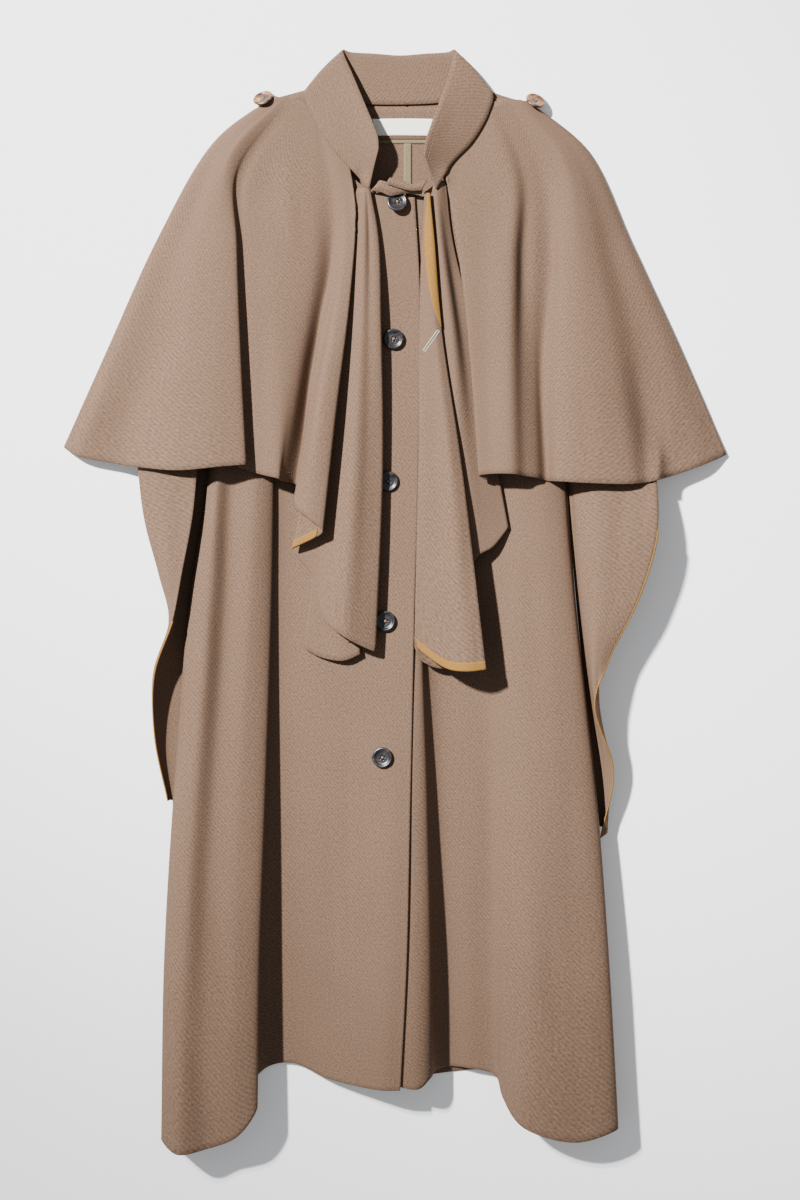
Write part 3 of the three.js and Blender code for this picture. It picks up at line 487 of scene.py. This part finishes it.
def neighbours(field):
    """The field as each of its nine nearest places sees it."""
    padded = np.pad(field, 1, mode="edge")
    rows, columns = field.shape
    return [padded[a : a + rows, b : b + columns] for a in range(3) for b in range(3)]


def lay(grid, thickness):
    """Raises a grid softly until its wall clears what has been laid before."""
    under = np.maximum.reduce(neighbours(np.maximum.reduce(neighbours(heights))))
    i, j = cells(grid[..., 0], grid[..., 1])
    need = np.maximum(under[i, j] + thickness * 0.55 + GAP - grid[..., 2], 0)
    lift = need
    for _ in range(8):
        lift = np.maximum(need, sum(neighbours(lift)) / 9)
    grid = grid.copy()
    grid[..., 2] += lift
    return grid


def crease(grid, creases):
    """Adds soft troughs and ridges along lines: x0, y0, x1, y1, half width, height."""
    for x0, y0, x1, y1, width, height in creases:
        run = np.array([x1 - x0, y1 - y0], float)
        length = np.linalg.norm(run)
        rel = grid[..., :2] - np.array([x0, y0])
        along = rel @ run / length**2
        off = np.abs(rel @ np.array([-run[1], run[0]])) / length
        fade = np.clip(np.sin(np.pi * np.clip(along, 0, 1)), 0, 1) ** 0.7
        grid[..., 2] += height * np.exp(-((off / width) ** 2)) * fade
    return grid


def ripple(grid, size, height, seed):
    """Uneven softness of laid cloth: a sum of long slanting waves, the same at each run."""
    rng = np.random.default_rng(seed)
    x, y = grid[..., 0], grid[..., 1]
    total = np.zeros_like(x)
    for _ in range(9):
        angle = rng.uniform(-0.9, 0.9)
        wave = size * rng.uniform(0.6, 1.7)
        phase = rng.uniform(0, 2 * math.pi)
        total += np.sin((x * math.cos(angle) + 0.35 * y * math.sin(angle)) * 2 * math.pi / wave + phase)
    grid[..., 2] += height * total / 3
    return grid


def new_object(name, data):
    obj = bpy.data.objects.new(name, data)
    bpy.context.scene.collection.objects.link(obj)
    return obj


def mesh_object(name, vertices, faces, uvs=None):
    """Smooth mesh from points in millimetres."""
    mesh = bpy.data.meshes.new(name)
    mesh.from_pydata((np.asarray(vertices) * MM).tolist(), [], [tuple(f) for f in faces])
    mesh.update()
    if uvs is not None:
        layer = mesh.uv_layers.new(name="cloth")
        index = np.zeros(len(mesh.loops), np.int32)
        mesh.loops.foreach_get("vertex_index", index)
        layer.data.foreach_set("uv", (np.asarray(uvs)[index] * MM).ravel().astype(np.float32))
    mesh.polygons.foreach_set("use_smooth", [True] * len(mesh.polygons))
    return new_object(name, mesh)


def small_object(name, vertices, faces):
    """Smooth mesh whose UVs are its places seen from above."""
    return mesh_object(name, vertices, faces, np.array(vertices)[:, :2])


def lengths_along(grid, axis):
    """Length of the cloth from the first line of a grid to each of its points."""
    step = np.linalg.norm(np.diff(grid, axis=axis), axis=-1)
    start = np.zeros_like(np.take(step, [0], axis))
    return np.concatenate([start, np.cumsum(step, axis=axis)], axis=axis)


def wall(name, grid, thickness):
    """Closed wall of even thickness with a rounded rim; its UVs measure the cloth."""
    normal = unit(patches(grid))
    rows, columns = grid.shape[:2]
    top = grid + normal * thickness / 2
    bottom = grid - normal * thickness / 2
    u = lengths_along(grid, 0).mean(axis=1, keepdims=True) + np.zeros((rows, columns))
    v = lengths_along(grid, 1).mean(axis=0, keepdims=True) + np.zeros((rows, columns))
    uv = np.stack([u, v], -1).reshape(-1, 2)
    ids = np.arange(rows * columns).reshape(rows, columns)
    a, b, c, d = ids[:-1, :-1], ids[1:, :-1], ids[1:, 1:], ids[:-1, 1:]
    upper = np.stack([a, b, c, d], -1).reshape(-1, 4)
    lower = np.stack([a, d, c, b], -1).reshape(-1, 4) + rows * columns
    ring = np.concatenate([ids[:-1, 0], ids[-1, :-1], ids[:0:-1, -1], ids[0, :0:-1]])
    inner = np.concatenate([ids[:-1, 1], ids[-2, :-1], ids[:0:-1, -2], ids[1, :0:-1]])
    flat = grid.reshape(-1, 3)
    rim = flat[ring] + unit(flat[ring] - flat[inner]) * thickness * 0.35
    vertices = np.concatenate([top.reshape(-1, 3), bottom.reshape(-1, 3), rim])
    vertices[:, 2] = np.maximum(vertices[:, 2], 0.02)
    base = 2 * rows * columns
    n = len(ring)
    middle = base + np.arange(n)
    following = base + (np.arange(n) + 1) % n
    nxt = np.roll(ring, -1)
    rim_faces = np.concatenate(
        [
            np.stack([ring, middle, following, nxt], -1),
            np.stack([middle, ring + rows * columns, nxt + rows * columns, following], -1),
        ]
    )
    faces = np.concatenate([upper, lower, rim_faces])
    uvs = np.concatenate([uv, uv, uv[ring]])
    return mesh_object(name, vertices, faces, uvs)


# Materials


def new_material(name):
    material = bpy.data.materials.new(name)
    material.use_nodes = True
    tree = material.node_tree
    return material, tree, tree.nodes["Principled BSDF"]


def node(tree, kind, inputs=None, **settings):
    """New node with these settings, and these values in its named inputs."""
    made = tree.nodes.new(kind)
    for key, value in settings.items():
        setattr(made, key, value)
    set_inputs(made, inputs or {})
    return made


def set_inputs(made, values):
    for key, value in values.items():
        made.inputs[key].default_value = value


def ranged(tree, source, low, high, start=0.0, end=1.0):
    """A value spread from low to high while its source goes from start to end."""
    limits = {"From Min": start, "From Max": end, "To Min": low, "To Max": high}
    spread_out = node(tree, "ShaderNodeMapRange", limits)
    tree.links.new(source, spread_out.inputs["Value"])
    return spread_out.outputs["Result"]


BAND_WIDTH = 0.314  # of a wave texture at scale 1, in metres


def twill(name, light, dark, rib, depth):
    """Brushed wool twill: slanting ribs, a heathered mix of two shades and a soft nap."""
    material, tree, shader = new_material(name)
    link = tree.links.new
    uv = node(tree, "ShaderNodeUVMap", uv_map="cloth").outputs["UV"]
    turned = node(tree, "ShaderNodeMapping", {"Rotation": (0, 0, math.radians(38))})
    link(uv, turned.inputs["Vector"])
    ribbed = {"Scale": BAND_WIDTH / rib / MM, "Distortion": 0.9, "Detail": 1.0, "Detail Scale": 2.0}
    ribs = node(tree, "ShaderNodeTexWave", ribbed, wave_type="BANDS", bands_direction="X")
    link(turned.outputs["Vector"], ribs.inputs["Vector"])
    nap = node(tree, "ShaderNodeTexNoise", {"Scale": 430, "Detail": 3, "Roughness": 0.75})
    cloud = node(tree, "ShaderNodeTexNoise", {"Scale": 14, "Detail": 3})
    for noise in (nap, cloud):
        link(uv, noise.inputs["Vector"])
    weave = node(tree, "ShaderNodeMath", {1: 0.12}, operation="MULTIPLY_ADD")
    link(ribs.outputs["Fac"], weave.inputs[0])
    link(nap.outputs["Fac"], weave.inputs[2])
    colour = node(tree, "ShaderNodeMix", data_type="RGBA")
    set_inputs(colour, {"A": (*dark, 1), "B": (*light, 1)})
    link(ranged(tree, weave.outputs["Value"], 0, 1, 0.36, 0.84), colour.inputs["Factor"])
    toned = node(tree, "ShaderNodeHueSaturation")
    link(ranged(tree, cloud.outputs["Fac"], 0.93, 1.06), toned.inputs["Value"])
    link(colour.outputs["Result"], toned.inputs["Color"])
    link(toned.outputs["Color"], shader.inputs["Base Color"])
    link(ranged(tree, nap.outputs["Fac"], 0.78, 0.95), shader.inputs["Roughness"])
    bump = node(tree, "ShaderNodeBump", {"Strength": 0.5, "Distance": depth * MM})
    link(weave.outputs["Value"], bump.inputs["Height"])
    link(bump.outputs["Normal"], shader.inputs["Normal"])
    set_inputs(shader, {"Specular IOR Level": 0.08, "Sheen Weight": 0.012, "Sheen Roughness": 0.45})
    set_inputs(shader, {"Sheen Tint": (1.0, 0.8, 0.62, 1)})
    return material


def shadow_slit():
    """Painted shade for the opening of a buttonhole: a near-black colour where the slit's shadow falls."""
    material, tree, shader = new_material("painted_shade_slit")
    speck = node(tree, "ShaderNodeTexNoise", {"Scale": 900})
    tree.links.new(ranged(tree, speck.outputs["Fac"], 0.008, 0.02), shader.inputs["Base Color"])
    set_inputs(shader, {"Roughness": 1.0})
    return material


def horn(name, deep, middle, glow):
    """Polished horn: long streaks of three shades, glossy but not mirror smooth."""
    material, tree, shader = new_material(name)
    link = tree.links.new
    place = node(tree, "ShaderNodeTexCoord")
    stretched = node(tree, "ShaderNodeMapping", {"Scale": (1, 2.2, 1), "Rotation": (0, 0, 0.6)})
    link(place.outputs["Object"], stretched.inputs["Vector"])
    streaks = node(tree, "ShaderNodeTexNoise", {"Scale": 75, "Detail": 4, "Distortion": 1.2})
    link(stretched.outputs["Vector"], streaks.inputs["Vector"])
    ramp = node(tree, "ShaderNodeValToRGB")
    stops = ramp.color_ramp.elements
    stops[0].position, stops[0].color = 0.38, (*deep, 1)
    stops[1].position, stops[1].color = 0.68, (*glow, 1)
    stops.new(0.54).color = (*middle, 1)
    link(streaks.outputs["Fac"], ramp.inputs["Fac"])
    link(ramp.outputs["Color"], shader.inputs["Base Color"])
    link(ranged(tree, streaks.outputs["Fac"], 0.2, 0.4), shader.inputs["Roughness"])
    return material


WOOL = twill("wool_twill", (0.171, 0.1065, 0.0718), (0.0795, 0.0484, 0.0315), rib=3.2, depth=0.17)
TAPE = twill("khaki_tape", (0.185, 0.145, 0.085), (0.12, 0.092, 0.052), rib=0.9, depth=0.2)
OCHRE = twill("ochre_binding", (0.24, 0.122, 0.03), (0.16, 0.08, 0.019), rib=0.8, depth=0.15)
WOVEN = twill("label_satin", (0.82, 0.81, 0.77), (0.7, 0.69, 0.64), rib=0.5, depth=0.08)
THREAD = twill("sewing_thread", (0.24, 0.155, 0.105), (0.15, 0.095, 0.065), rib=0.5, depth=0.1)
SILK = twill("buttonhole_silk", (0.5, 0.45, 0.36), (0.3, 0.26, 0.2), rib=0.4, depth=0.1)
# Near-black colour of the buttonhole slits: painted shade inside the openings.
PAINTED_SHADE_SLIT = shadow_slit()
HORN = horn("dark_horn", (0.004, 0.004, 0.005), (0.014, 0.013, 0.016), (0.05, 0.026, 0.012))
AMBER_HORN = horn("amber_horn", (0.02, 0.01, 0.008), (0.11, 0.045, 0.015), (0.34, 0.15, 0.035))

# Pieces of cloth and their trimmings

grids, marks = {}, {}
RECORD_SLOTS = {
    **dict.fromkeys(("wool_twill", "sewing_thread", "painted_shade_slit"), "wool"),
    **dict.fromkeys(("khaki_tape", "buttonhole_silk"), "tape"),
    **dict.fromkeys(("dark_horn", "amber_horn"), "horn"),
    "ochre_binding": "binding",
    "label_satin": "label",
}


def dress(obj, material, *nodes):
    """Gives a piece its finish and lets it ride on the one body."""
    obj.data.materials.append(material)
    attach(obj, "root")
    if nodes:
        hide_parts(*nodes)
    return obj


def declare(grid):
    """Measures the widest and longest run of a piece's cloth, and stops there for a piece narrower than the
    smallest sheet; it keeps and states nothing.
    """
    width = lengths_along(grid, 0)[-1].max() * MM
    length = lengths_along(grid, 1)[:, -1].max() * MM
    if min(width, length) < SMALLEST_SHEET:
        return


def panel(name, table, laid=True, material=WOOL, thickness=CLOTH, creases=(), soft=None):
    """One cut piece of cloth, laid on the pieces before it."""
    steps = (STEP_ACROSS, STEP_ALONG) if material is WOOL else (TAPE_STEP, TAPE_STEP)
    grid, rows, columns = surface(table, *steps)
    if soft:
        grid = ripple(grid, *soft)
    grid = crease(grid, creases)
    if laid:
        grid = lay(grid, thickness)
    grid[..., 2] = np.maximum(grid[..., 2], thickness / 2)
    grids[name], marks[name] = grid, (rows, columns)
    add_to_heights(grid, thickness)
    obj = dress(wall(name + "_cloth", grid, thickness), material, name)
    declare(grid)


def curled_piece(name, table):
    """A small curled piece at the height where the part holds it."""
    grid, _, _ = surface(table, CURL_STEP, CURL_STEP)
    low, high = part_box(name)
    middle = (low[2] + high[2]) / 2 / MM
    grid[..., 2] += middle - (grid[..., 2].min() + grid[..., 2].max()) / 2
    obj = dress(wall(name + "_cloth", grid, CLOTH), WOOL, name)
    declare(grid)


def upward(normals):
    """The same directions, or their opposites where they point at the ground."""
    return normals * np.where(normals[..., 2:3] < 0, -1, 1)


def along_line(at, run, points):
    """Points of a line at these lengths along it."""
    return np.stack([np.interp(at, run, points[:, k]) for k in range(3)], -1)


def hem_line(grid, distance):
    """Points this far up from the lower edge of a grid, and the face's upward normals there."""
    back = grid[:, ::-1]
    run = lengths_along(back, 1)
    normal = upward(unit(patches(grid)))[:, ::-1]
    points = [along_line(distance, *row) for row in zip(run, back)]
    last = grid.shape[1] - 1
    near = [ups[min(np.searchsorted(lengths, distance), last)] for ups, lengths in zip(normal, run)]
    return np.array(points), np.array(near)


def side_line(grid, distance):
    """Points this far in from the last fold line of a grid, and the face's upward normals there."""
    return hem_line(grid.transpose(1, 0, 2), distance)


def grains(spots, ups, ahead, half, wide):
    """Vertices and faces of small rounded stitches."""
    aside = np.cross(ups, ahead)
    vertices, faces = [], []
    for p, u, t, s in zip(spots, ups, ahead, aside):
        base = len(vertices)
        vertices.append(p - t * half - u * 0.15)
        for along in (-0.55, 0.55):
            middle = p + t * half * along
            vertices += [middle + s * wide, middle + u * wide, middle - s * wide, middle - u * wide]
        vertices.append(p + t * half - u * 0.15)
        a, b, end = base + 1, base + 5, base + 9
        for k in range(4):
            n = (k + 1) % 4
            faces += [(base, a + n, a + k), (a + k, a + n, b + n, b + k), (b + k, b + n, end)]
    return vertices, faces


def stitches(name, path, thickness=CLOTH, size=STITCH):
    """A line of topstitching on the cloth's face."""
    points, normals = path
    run = lengths_along(points, 0)
    at = np.linspace(0, run[-1], max(3, int(run[-1] / size["pitch"])))
    ups = unit(along_line(at, run, normals))
    spots = along_line(at, run, points) + ups * (thickness / 2)
    ahead = unit(np.gradient(spots, axis=0))
    inner = slice(1, -1)
    half, wide = size["length"] / 2, size["width"] / 2
    vertices, faces = grains(spots[inner], ups[inner], ahead[inner], half, wide)
    dress(small_object(name, vertices, faces), THREAD)


def hem_band(name, grid, end):
    """Flat binding on the face of a piece, just above its lower edge."""
    (p, n), (q, m) = hem_line(grid, BAND_START), hem_line(grid, end)
    index = np.arange(len(p))
    at = np.linspace(0, len(p) - 1, max(8, int(lengths_along(p, 0)[-1] / BAND_STEP)))
    p, n, q, m = (along_line(at, index, values) for values in (p, n, q, m))
    low, high = p + n * (ON_FACE + 0.05), q + m * (ON_FACE + 0.05)
    shares = np.linspace(0, 1, 6)[:, None, None]
    grid = low[None] * (1 - shares) + high[None] * shares
    dress(wall(name + "_hem", grid, BINDING), OCHRE, name + "_binding")


def taper_band(name, grid, first, last_column):
    """Strip of the face from row first to the free edge, running out at a station."""
    end = len(grid) - 1
    normal = upward(unit(patches(grid)))
    columns = np.arange(last_column + 1)
    along = columns / last_column
    open_share = (0.3 + 3.4 * along) * (1 - along) ** 1.2
    start = end - 0.6 - (end - 0.6 - first) * open_share
    sides = []
    for share in np.linspace(0, 1, 6):
        at = start + (end - start) * share
        low = np.minimum(at.astype(int), end - 1)
        w = (at - low)[:, None]
        point = grid[low, columns] * (1 - w) + grid[low + 1, columns] * w
        sides.append(point + normal[low, columns] * (ON_FACE + 0.1))
    dress(wall(name, np.array(sides), BINDING), OCHRE)


def edge_band(name, grid, columns):
    """Narrow binding along the free edge of a piece, just outside it."""
    edge = grid[-1, columns]
    out = unit(edge - grid[-2, columns])
    sides = [edge + out * distance for distance in np.linspace(0.1, EDGE_LINE, 4)]
    dress(wall(name + "_edge", np.array(sides), CLOTH * 0.9), OCHRE, name + "_binding")


def face_under(piece, x, y):
    """Height of a piece's face at this place, and the face's direction."""
    _, spot, normal, _ = piece.ray_cast(Vector((x, y, ABOVE)) * MM, Vector((0, 0, -1)))
    return spot.z / MM, normal


def draped(piece, start, end, pitch):
    """Points and normals of a straight line laid on the piece's face."""
    a, b = np.array(start, float), np.array(end, float)
    spots, ups = [], []
    for share in np.linspace(0, 1, max(3, int(np.linalg.norm(b - a) / pitch))):
        x, y = a + (b - a) * share
        z, normal = face_under(piece, x, y)
        spots.append((x, y, z))
        ups.append(tuple(normal))
    return np.array(spots), upward(np.array(ups))


def buttonhole(name, piece, start, end, wide, silk):
    """Two rows of dense stitches round a slit of painted shade, closed by a bar at each end."""
    a, b = np.array(start, float), np.array(end, float)
    run = b - a
    length = np.linalg.norm(run)
    t, side = run / length, np.array([-run[1], run[0]]) / length
    spots, ups, ahead = [], [], []
    count = int(length / 0.62)
    for k in range(count + 1):
        middle = a + run * k / count
        for way in (-1, 1):
            place = middle + side * way * wide * 0.62
            z, normal = face_under(piece, *place)
            spots.append([*place, z + 0.1])
            ups.append(tuple(normal))
            ahead.append([*(side * way), 0.0])
    for place in (a - t * 0.4, b + t * 0.4):
        for way in np.linspace(-1, 1, 5):
            spot = place + side * way * wide * 0.8
            z, normal = face_under(piece, *spot)
            spots.append([*spot, z + 0.15])
            ups.append(tuple(normal))
            ahead.append([*t, 0.0])
    vertices, faces = grains(np.array(spots), np.array(ups), np.array(ahead), wide * 0.5, 0.34)
    dress(small_object(name, vertices, faces), silk)
    # The slit is a thin near-black sheet laid on the cloth: painted shade where the opening's shadow falls.
    slit, steps = [], 24
    for share in np.linspace(0.04, 0.96, steps):
        place = a + run * share
        half = 0.42 * math.sin(math.pi * share) + 0.12
        z, _ = face_under(piece, *place)
        for way in (-1, 1):
            slit.append([*(place + side * way * half), z + 0.12])
    quads = [(2 * k, 2 * k + 1, 2 * k + 3, 2 * k + 2) for k in range(steps - 1)]
    dress(small_object(name + "_slit", slit, quads), PAINTED_SHADE_SLIT)


def axis_of(name):
    """Middle of a round button's back, and the direction that it faces: that of its least spread."""
    cad = frame["nodes"][name]
    points = np.array([cad.matrix_world @ v.co for v in cad.data.vertices]) / MM
    middle = points.mean(axis=0)
    _, _, turned = np.linalg.svd(points - middle)
    up = turned[2] * (1 if turned[2][2] > 0 else -1)
    level = (points - middle) @ up
    return middle + up * level.min(), up


def button_mesh():
    """Turned horn button with a raised rim, a dished middle and four holes."""
    sides = 72
    profile = [(0, 0.1), (7, 0.1), (9.4, 0.2), (10.6, 0.7), (11.2, 1.4), (BUTTON_RADIUS, 2.1), (11.25, 2.8)]
    profile += [(10.8, 3.3), (10.1, 3.55), (9.3, 3.5), (8.6, 3.2), (8.0, 2.75), (7.2, 2.45), (5.6, 2.3)]
    profile += [(3.4, 2.35), (0, 2.4)]
    vertices, faces = [(0, 0, profile[0][1])], []
    turns = [2 * math.pi * k / sides for k in range(sides)]
    for r, z in profile[1:-1]:
        vertices += [(r * math.cos(turn), r * math.sin(turn), z) for turn in turns]
    vertices.append((0, 0, profile[-1][1]))
    for k in range(sides):
        n = (k + 1) % sides
        faces.append((0, 1 + n, 1 + k))
        for ring in range(len(profile) - 3):
            low, high = 1 + ring * sides, 1 + (ring + 1) * sides
            faces.append((low + k, low + n, high + n, high + k))
        last = 1 + (len(profile) - 3) * sides
        faces.append((last + k, last + n, len(vertices) - 1))
    disc = mesh_object("button_form", vertices, faces)
    for quarter in range(4):
        angle = math.pi / 4 + quarter * math.pi / 2
        place = Vector((math.cos(angle), math.sin(angle), 0)) * HOLE_SPREAD * MM
        bpy.ops.mesh.primitive_cylinder_add(
            vertices=24, radius=HOLE_RADIUS * MM, depth=DRILL_LENGTH * MM, location=place
        )
        drill = bpy.context.object
        cut = disc.modifiers.new("hole", "BOOLEAN")
        cut.object, cut.operation, cut.solver = drill, "DIFFERENCE", "EXACT"
    shown = bpy.context.evaluated_depsgraph_get()
    mesh = bpy.data.meshes.new_from_object(disc.evaluated_get(shown))
    for obj in [o for o in bpy.data.objects if o.name.startswith("Cylinder")] + [disc]:
        bpy.data.objects.remove(obj)
    return mesh


def thread_mesh():
    """Thread through the four holes: two crossing bars that dive into them."""
    vertices, faces = [], []
    sides = 8
    turns = [2 * math.pi * k / sides for k in range(sides)]
    shares = np.linspace(-1, 1, 13)
    for angle in (math.pi / 4, 3 * math.pi / 4):
        ahead = np.array([math.cos(angle), math.sin(angle), 0])
        aside = np.array([-ahead[1], ahead[0], 0])
        for offset in (-0.33, 0.33):
            base = len(vertices)
            for share in shares:
                height = 2.75 + (0.35 if angle > 1 else 0) - 2.3 * abs(share) ** 6
                middle = ahead * HOLE_SPREAD * share + aside * offset + np.array([0, 0, height])
                for turn in turns:
                    out = aside * math.cos(turn) + np.array([0, 0, math.sin(turn)])
                    vertices.append(middle + out * THREAD_RADIUS)
            for step in range(len(shares) - 1):
                for k in range(sides):
                    n = (k + 1) % sides
                    low, high = base + step * sides, base + (step + 1) * sides
                    faces.append((low + k, low + n, high + n, high + k))
            faces.append(tuple(base + k for k in reversed(range(sides))))
            faces.append(tuple(base + (len(shares) - 1) * sides + k for k in range(sides)))
    return vertices, faces


# The layers go down in the order in which they lie on each other.
panel("cape_back", CAPE_BACK, laid=False, creases=CAPE_BACK_CREASES)
panel("back_right", BACK_RIGHT, creases=BACK_RIGHT_CREASES)
panel("back_left", BACK_LEFT, laid=False, creases=BACK_LEFT_CREASES)
panel("front_left", FRONT_LEFT, soft=(90, 0.5, 3), creases=FRONT_LEFT_CREASES)
panel("front_right", FRONT_RIGHT, soft=(90, 0.5, 4), creases=FRONT_RIGHT_CREASES)
panel("side_right", SIDE_RIGHT, laid=False, creases=SIDE_CREASES)
panel("side_left", SIDE_LEFT, laid=False, creases=SIDE_CREASES)
panel("cascade_left", CASCADE_LEFT, soft=(40, 0.3, 8))
panel("cape_left", CAPE_LEFT, soft=(80, 0.4, 6), creases=CAPE_LEFT_CREASES)
panel("cascade_right_tail", CASCADE_RIGHT_TAIL)
panel("cascade_right", CASCADE_RIGHT, soft=(40, 0.3, 7))
panel("cape_right", CAPE_RIGHT, soft=(80, 0.4, 5), creases=CAPE_RIGHT_CREASES)
panel("collar", COLLAR, creases=COLLAR_CREASES)
panel("back_facing", BACK_FACING, laid=False)
for name, table, finish in (
    ("facing_binding", FACING_BINDING, TAPE),
    ("seam_binding", SEAM_BINDING, TAPE),
    ("label", NECK_LABEL, WOVEN),
):
    panel(name, table, laid=False, material=finish, thickness=BINDING)
curled_piece("neck_tab", NECK_TAB)
curled_piece("neck_band", NECK_BAND)

# Bindings
rows, columns = marks["cascade_left"]
facing_side = grids["cascade_left"][(rows["turn"] + rows["faceLeft"]) // 2 :]
hem_band("cascade_left", facing_side, CASCADE_BAND)
taper_band("cascade_left_edge", grids["cascade_left"], rows["faceLeft"], columns[2])
rows, _ = marks["cape_right"]
turned_hem = grids["cape_right"][rows["underEdge"] :]
hem_band("cape_right", turned_hem, CAPE_BAND)
_, columns = marks["side_right"]
edge_band("side_right", grids["side_right"], slice(columns[3], columns[6] + 1))
_, columns = marks["side_left"]
edge_band("side_left", grids["side_left"], slice(columns[1], columns[6] + 1))

# Topstitching
for name, height in (
    ("front_right", HEM_STITCH),
    ("front_left", HEM_STITCH),
    ("cape_right", CAPE_STITCH),
    ("cape_left", CAPE_STITCH),
):
    stitches(name + "_hem_stitches", hem_line(grids[name], height))
collar = grids["collar"]
stitches("collar_edge_stitches", hem_line(collar, COLLAR_STITCH))
stitches("collar_right_end_stitches", side_line(collar[::-1], COLLAR_STITCH))
stitches("collar_left_end_stitches", side_line(collar, COLLAR_STITCH))
for name in ("cascade_right", "cascade_right_tail", "cascade_left"):
    stitches(name + "_hem_stitches", hem_line(grids[name], CASCADE_STITCH))
for name in ("side_right", "side_left"):
    stitches(name + "_edge_stitches", side_line(grids[name], WING_STITCH))
for name, last in (("cape_right", "innerStart"), ("cape_left", "slope")):
    shoulder = grids[name][: marks[name][0][last] + 1, ::-1]
    stitches(name + "_shoulder_stitches", hem_line(shoulder, SHOULDER_STITCH))
front = bpy.data.objects["front_right_cloth"]
for k, (x, y) in enumerate(((-42, -529), (-1, -529))):
    tack = draped(front, (x, y - 4), (x, y + 4), 0.7)
    stitches(f"bar_tack_{k}", tack, 0.3, TACK_STITCH)

# Buttons and buttonholes
horn_mesh = button_mesh()
horn_mesh.polygons.foreach_set("use_smooth", [True] * len(horn_mesh.polygons))
thread_points, thread_faces = thread_mesh()
for name in [n for n in frame["nodes"] if n.startswith("button_")]:
    base, up = axis_of(name)
    turn = Vector((0, 0, 1)).rotation_difference(Vector(up)).to_matrix().to_4x4()
    spin = Matrix.Rotation(0.35 + 1.3 * sum(map(ord, name)) % 1.0, 4, "Z")
    place = Matrix.Translation(Vector(base) * MM) @ turn @ spin
    form = horn_mesh.copy()
    form.transform(place)
    form.materials.clear()
    dress(new_object(name + "_horn", form), AMBER_HORN if "shoulder" in name else HORN, name)
    sewn = small_object(name + "_thread", thread_points, thread_faces)
    sewn.data.transform(place)
    dress(sewn, THREAD)

for k, (x, y) in enumerate(((-4, 287), (-9, 130), (-13, -24), (-14, -174))):
    buttonhole(f"buttonhole_{k + 2}", front, (x - 13.5, y), (x + 13.5, y), 1.7, THREAD)
buttonhole("buttonhole_cascade", bpy.data.objects["cascade_left_cloth"], (33, 274), (48, 295), 2.0, SILK)


# Floor, light and camera


FLOOR_HALF, FLOOR_DROP = 16.0, 0.0005  # metres


def pale_floor():
    """Wide plain pale ground, just below the coat."""
    material, tree, shader = new_material("pale_paper")
    grain = node(tree, "ShaderNodeTexNoise", {"Scale": 6})
    tree.links.new(ranged(tree, grain.outputs["Fac"], 0.9, 0.92), shader.inputs["Base Color"])
    set_inputs(shader, {"Roughness": 0.9, "Emission Color": (0.97, 0.98, 1.0, 1), "Emission Strength": 0.12})
    mesh = bpy.data.meshes.new("floor")
    corners = [(x * FLOOR_HALF, y * FLOOR_HALF, 0) for x, y in ((-1, -1), (1, -1), (1, 1), (-1, 1))]
    mesh.from_pydata(corners, [], [(0, 1, 2, 3)])
    mesh.materials.append(material)
    floor = new_object("floor", mesh)
    floor.location.z = -FLOOR_DROP


pale_floor()

LIGHT_DIRECTION = Vector((0.78, -0.62, -1.0))  # the way the photograph's light travels
LIGHT_TURN = LIGHT_DIRECTION.to_track_quat("-Z", "Y").to_euler()
LAMP_DISTANCE, LAMP_AIM = 12.0, Vector((-0.14, 0.42, 0))
SOFTNESS = math.radians(1.2)


def add_light(name, kind, energy):
    """A lamp that shines the way the photograph's light travels."""
    lamp = bpy.data.lights.new(name, kind)
    lamp.energy = energy
    light = new_object(name, lamp)
    light.location = LAMP_AIM - LIGHT_DIRECTION.normalized() * LAMP_DISTANCE
    light.rotation_euler = LIGHT_TURN
    return lamp


pool = add_light("pool", "SPOT", 19500)
pool.shadow_soft_size = LAMP_DISTANCE * math.tan(SOFTNESS)
pool.spot_size = math.radians(9.8)
pool.spot_blend = 1.0
wash = add_light("wash", "SUN", 5.8)
wash.angle = 2 * SOFTNESS
world = bpy.data.worlds.new("studio")
world.use_nodes = True
set_inputs(world.node_tree.nodes["Background"], {"Color": (0.93, 0.96, 1.0, 1), "Strength": 0.42})
bpy.context.scene.world = world

# The photograph looks straight down; its frame is 1320 mm high where the cloth lies.
LENS, SENSOR, VIEW_HEIGHT, CLOTH_HEIGHT, VIEW_MIDDLE = 150.0, 36.0, 1.320, 0.025, (0.006, -0.0006)
camera_data = bpy.data.cameras.new("camera")
camera_data.lens = LENS
camera_data.sensor_width = SENSOR
camera = new_object("camera", camera_data)
camera.location = (*VIEW_MIDDLE, CLOTH_HEIGHT + VIEW_HEIGHT * LENS / SENSOR)
bpy.context.scene.camera = camera
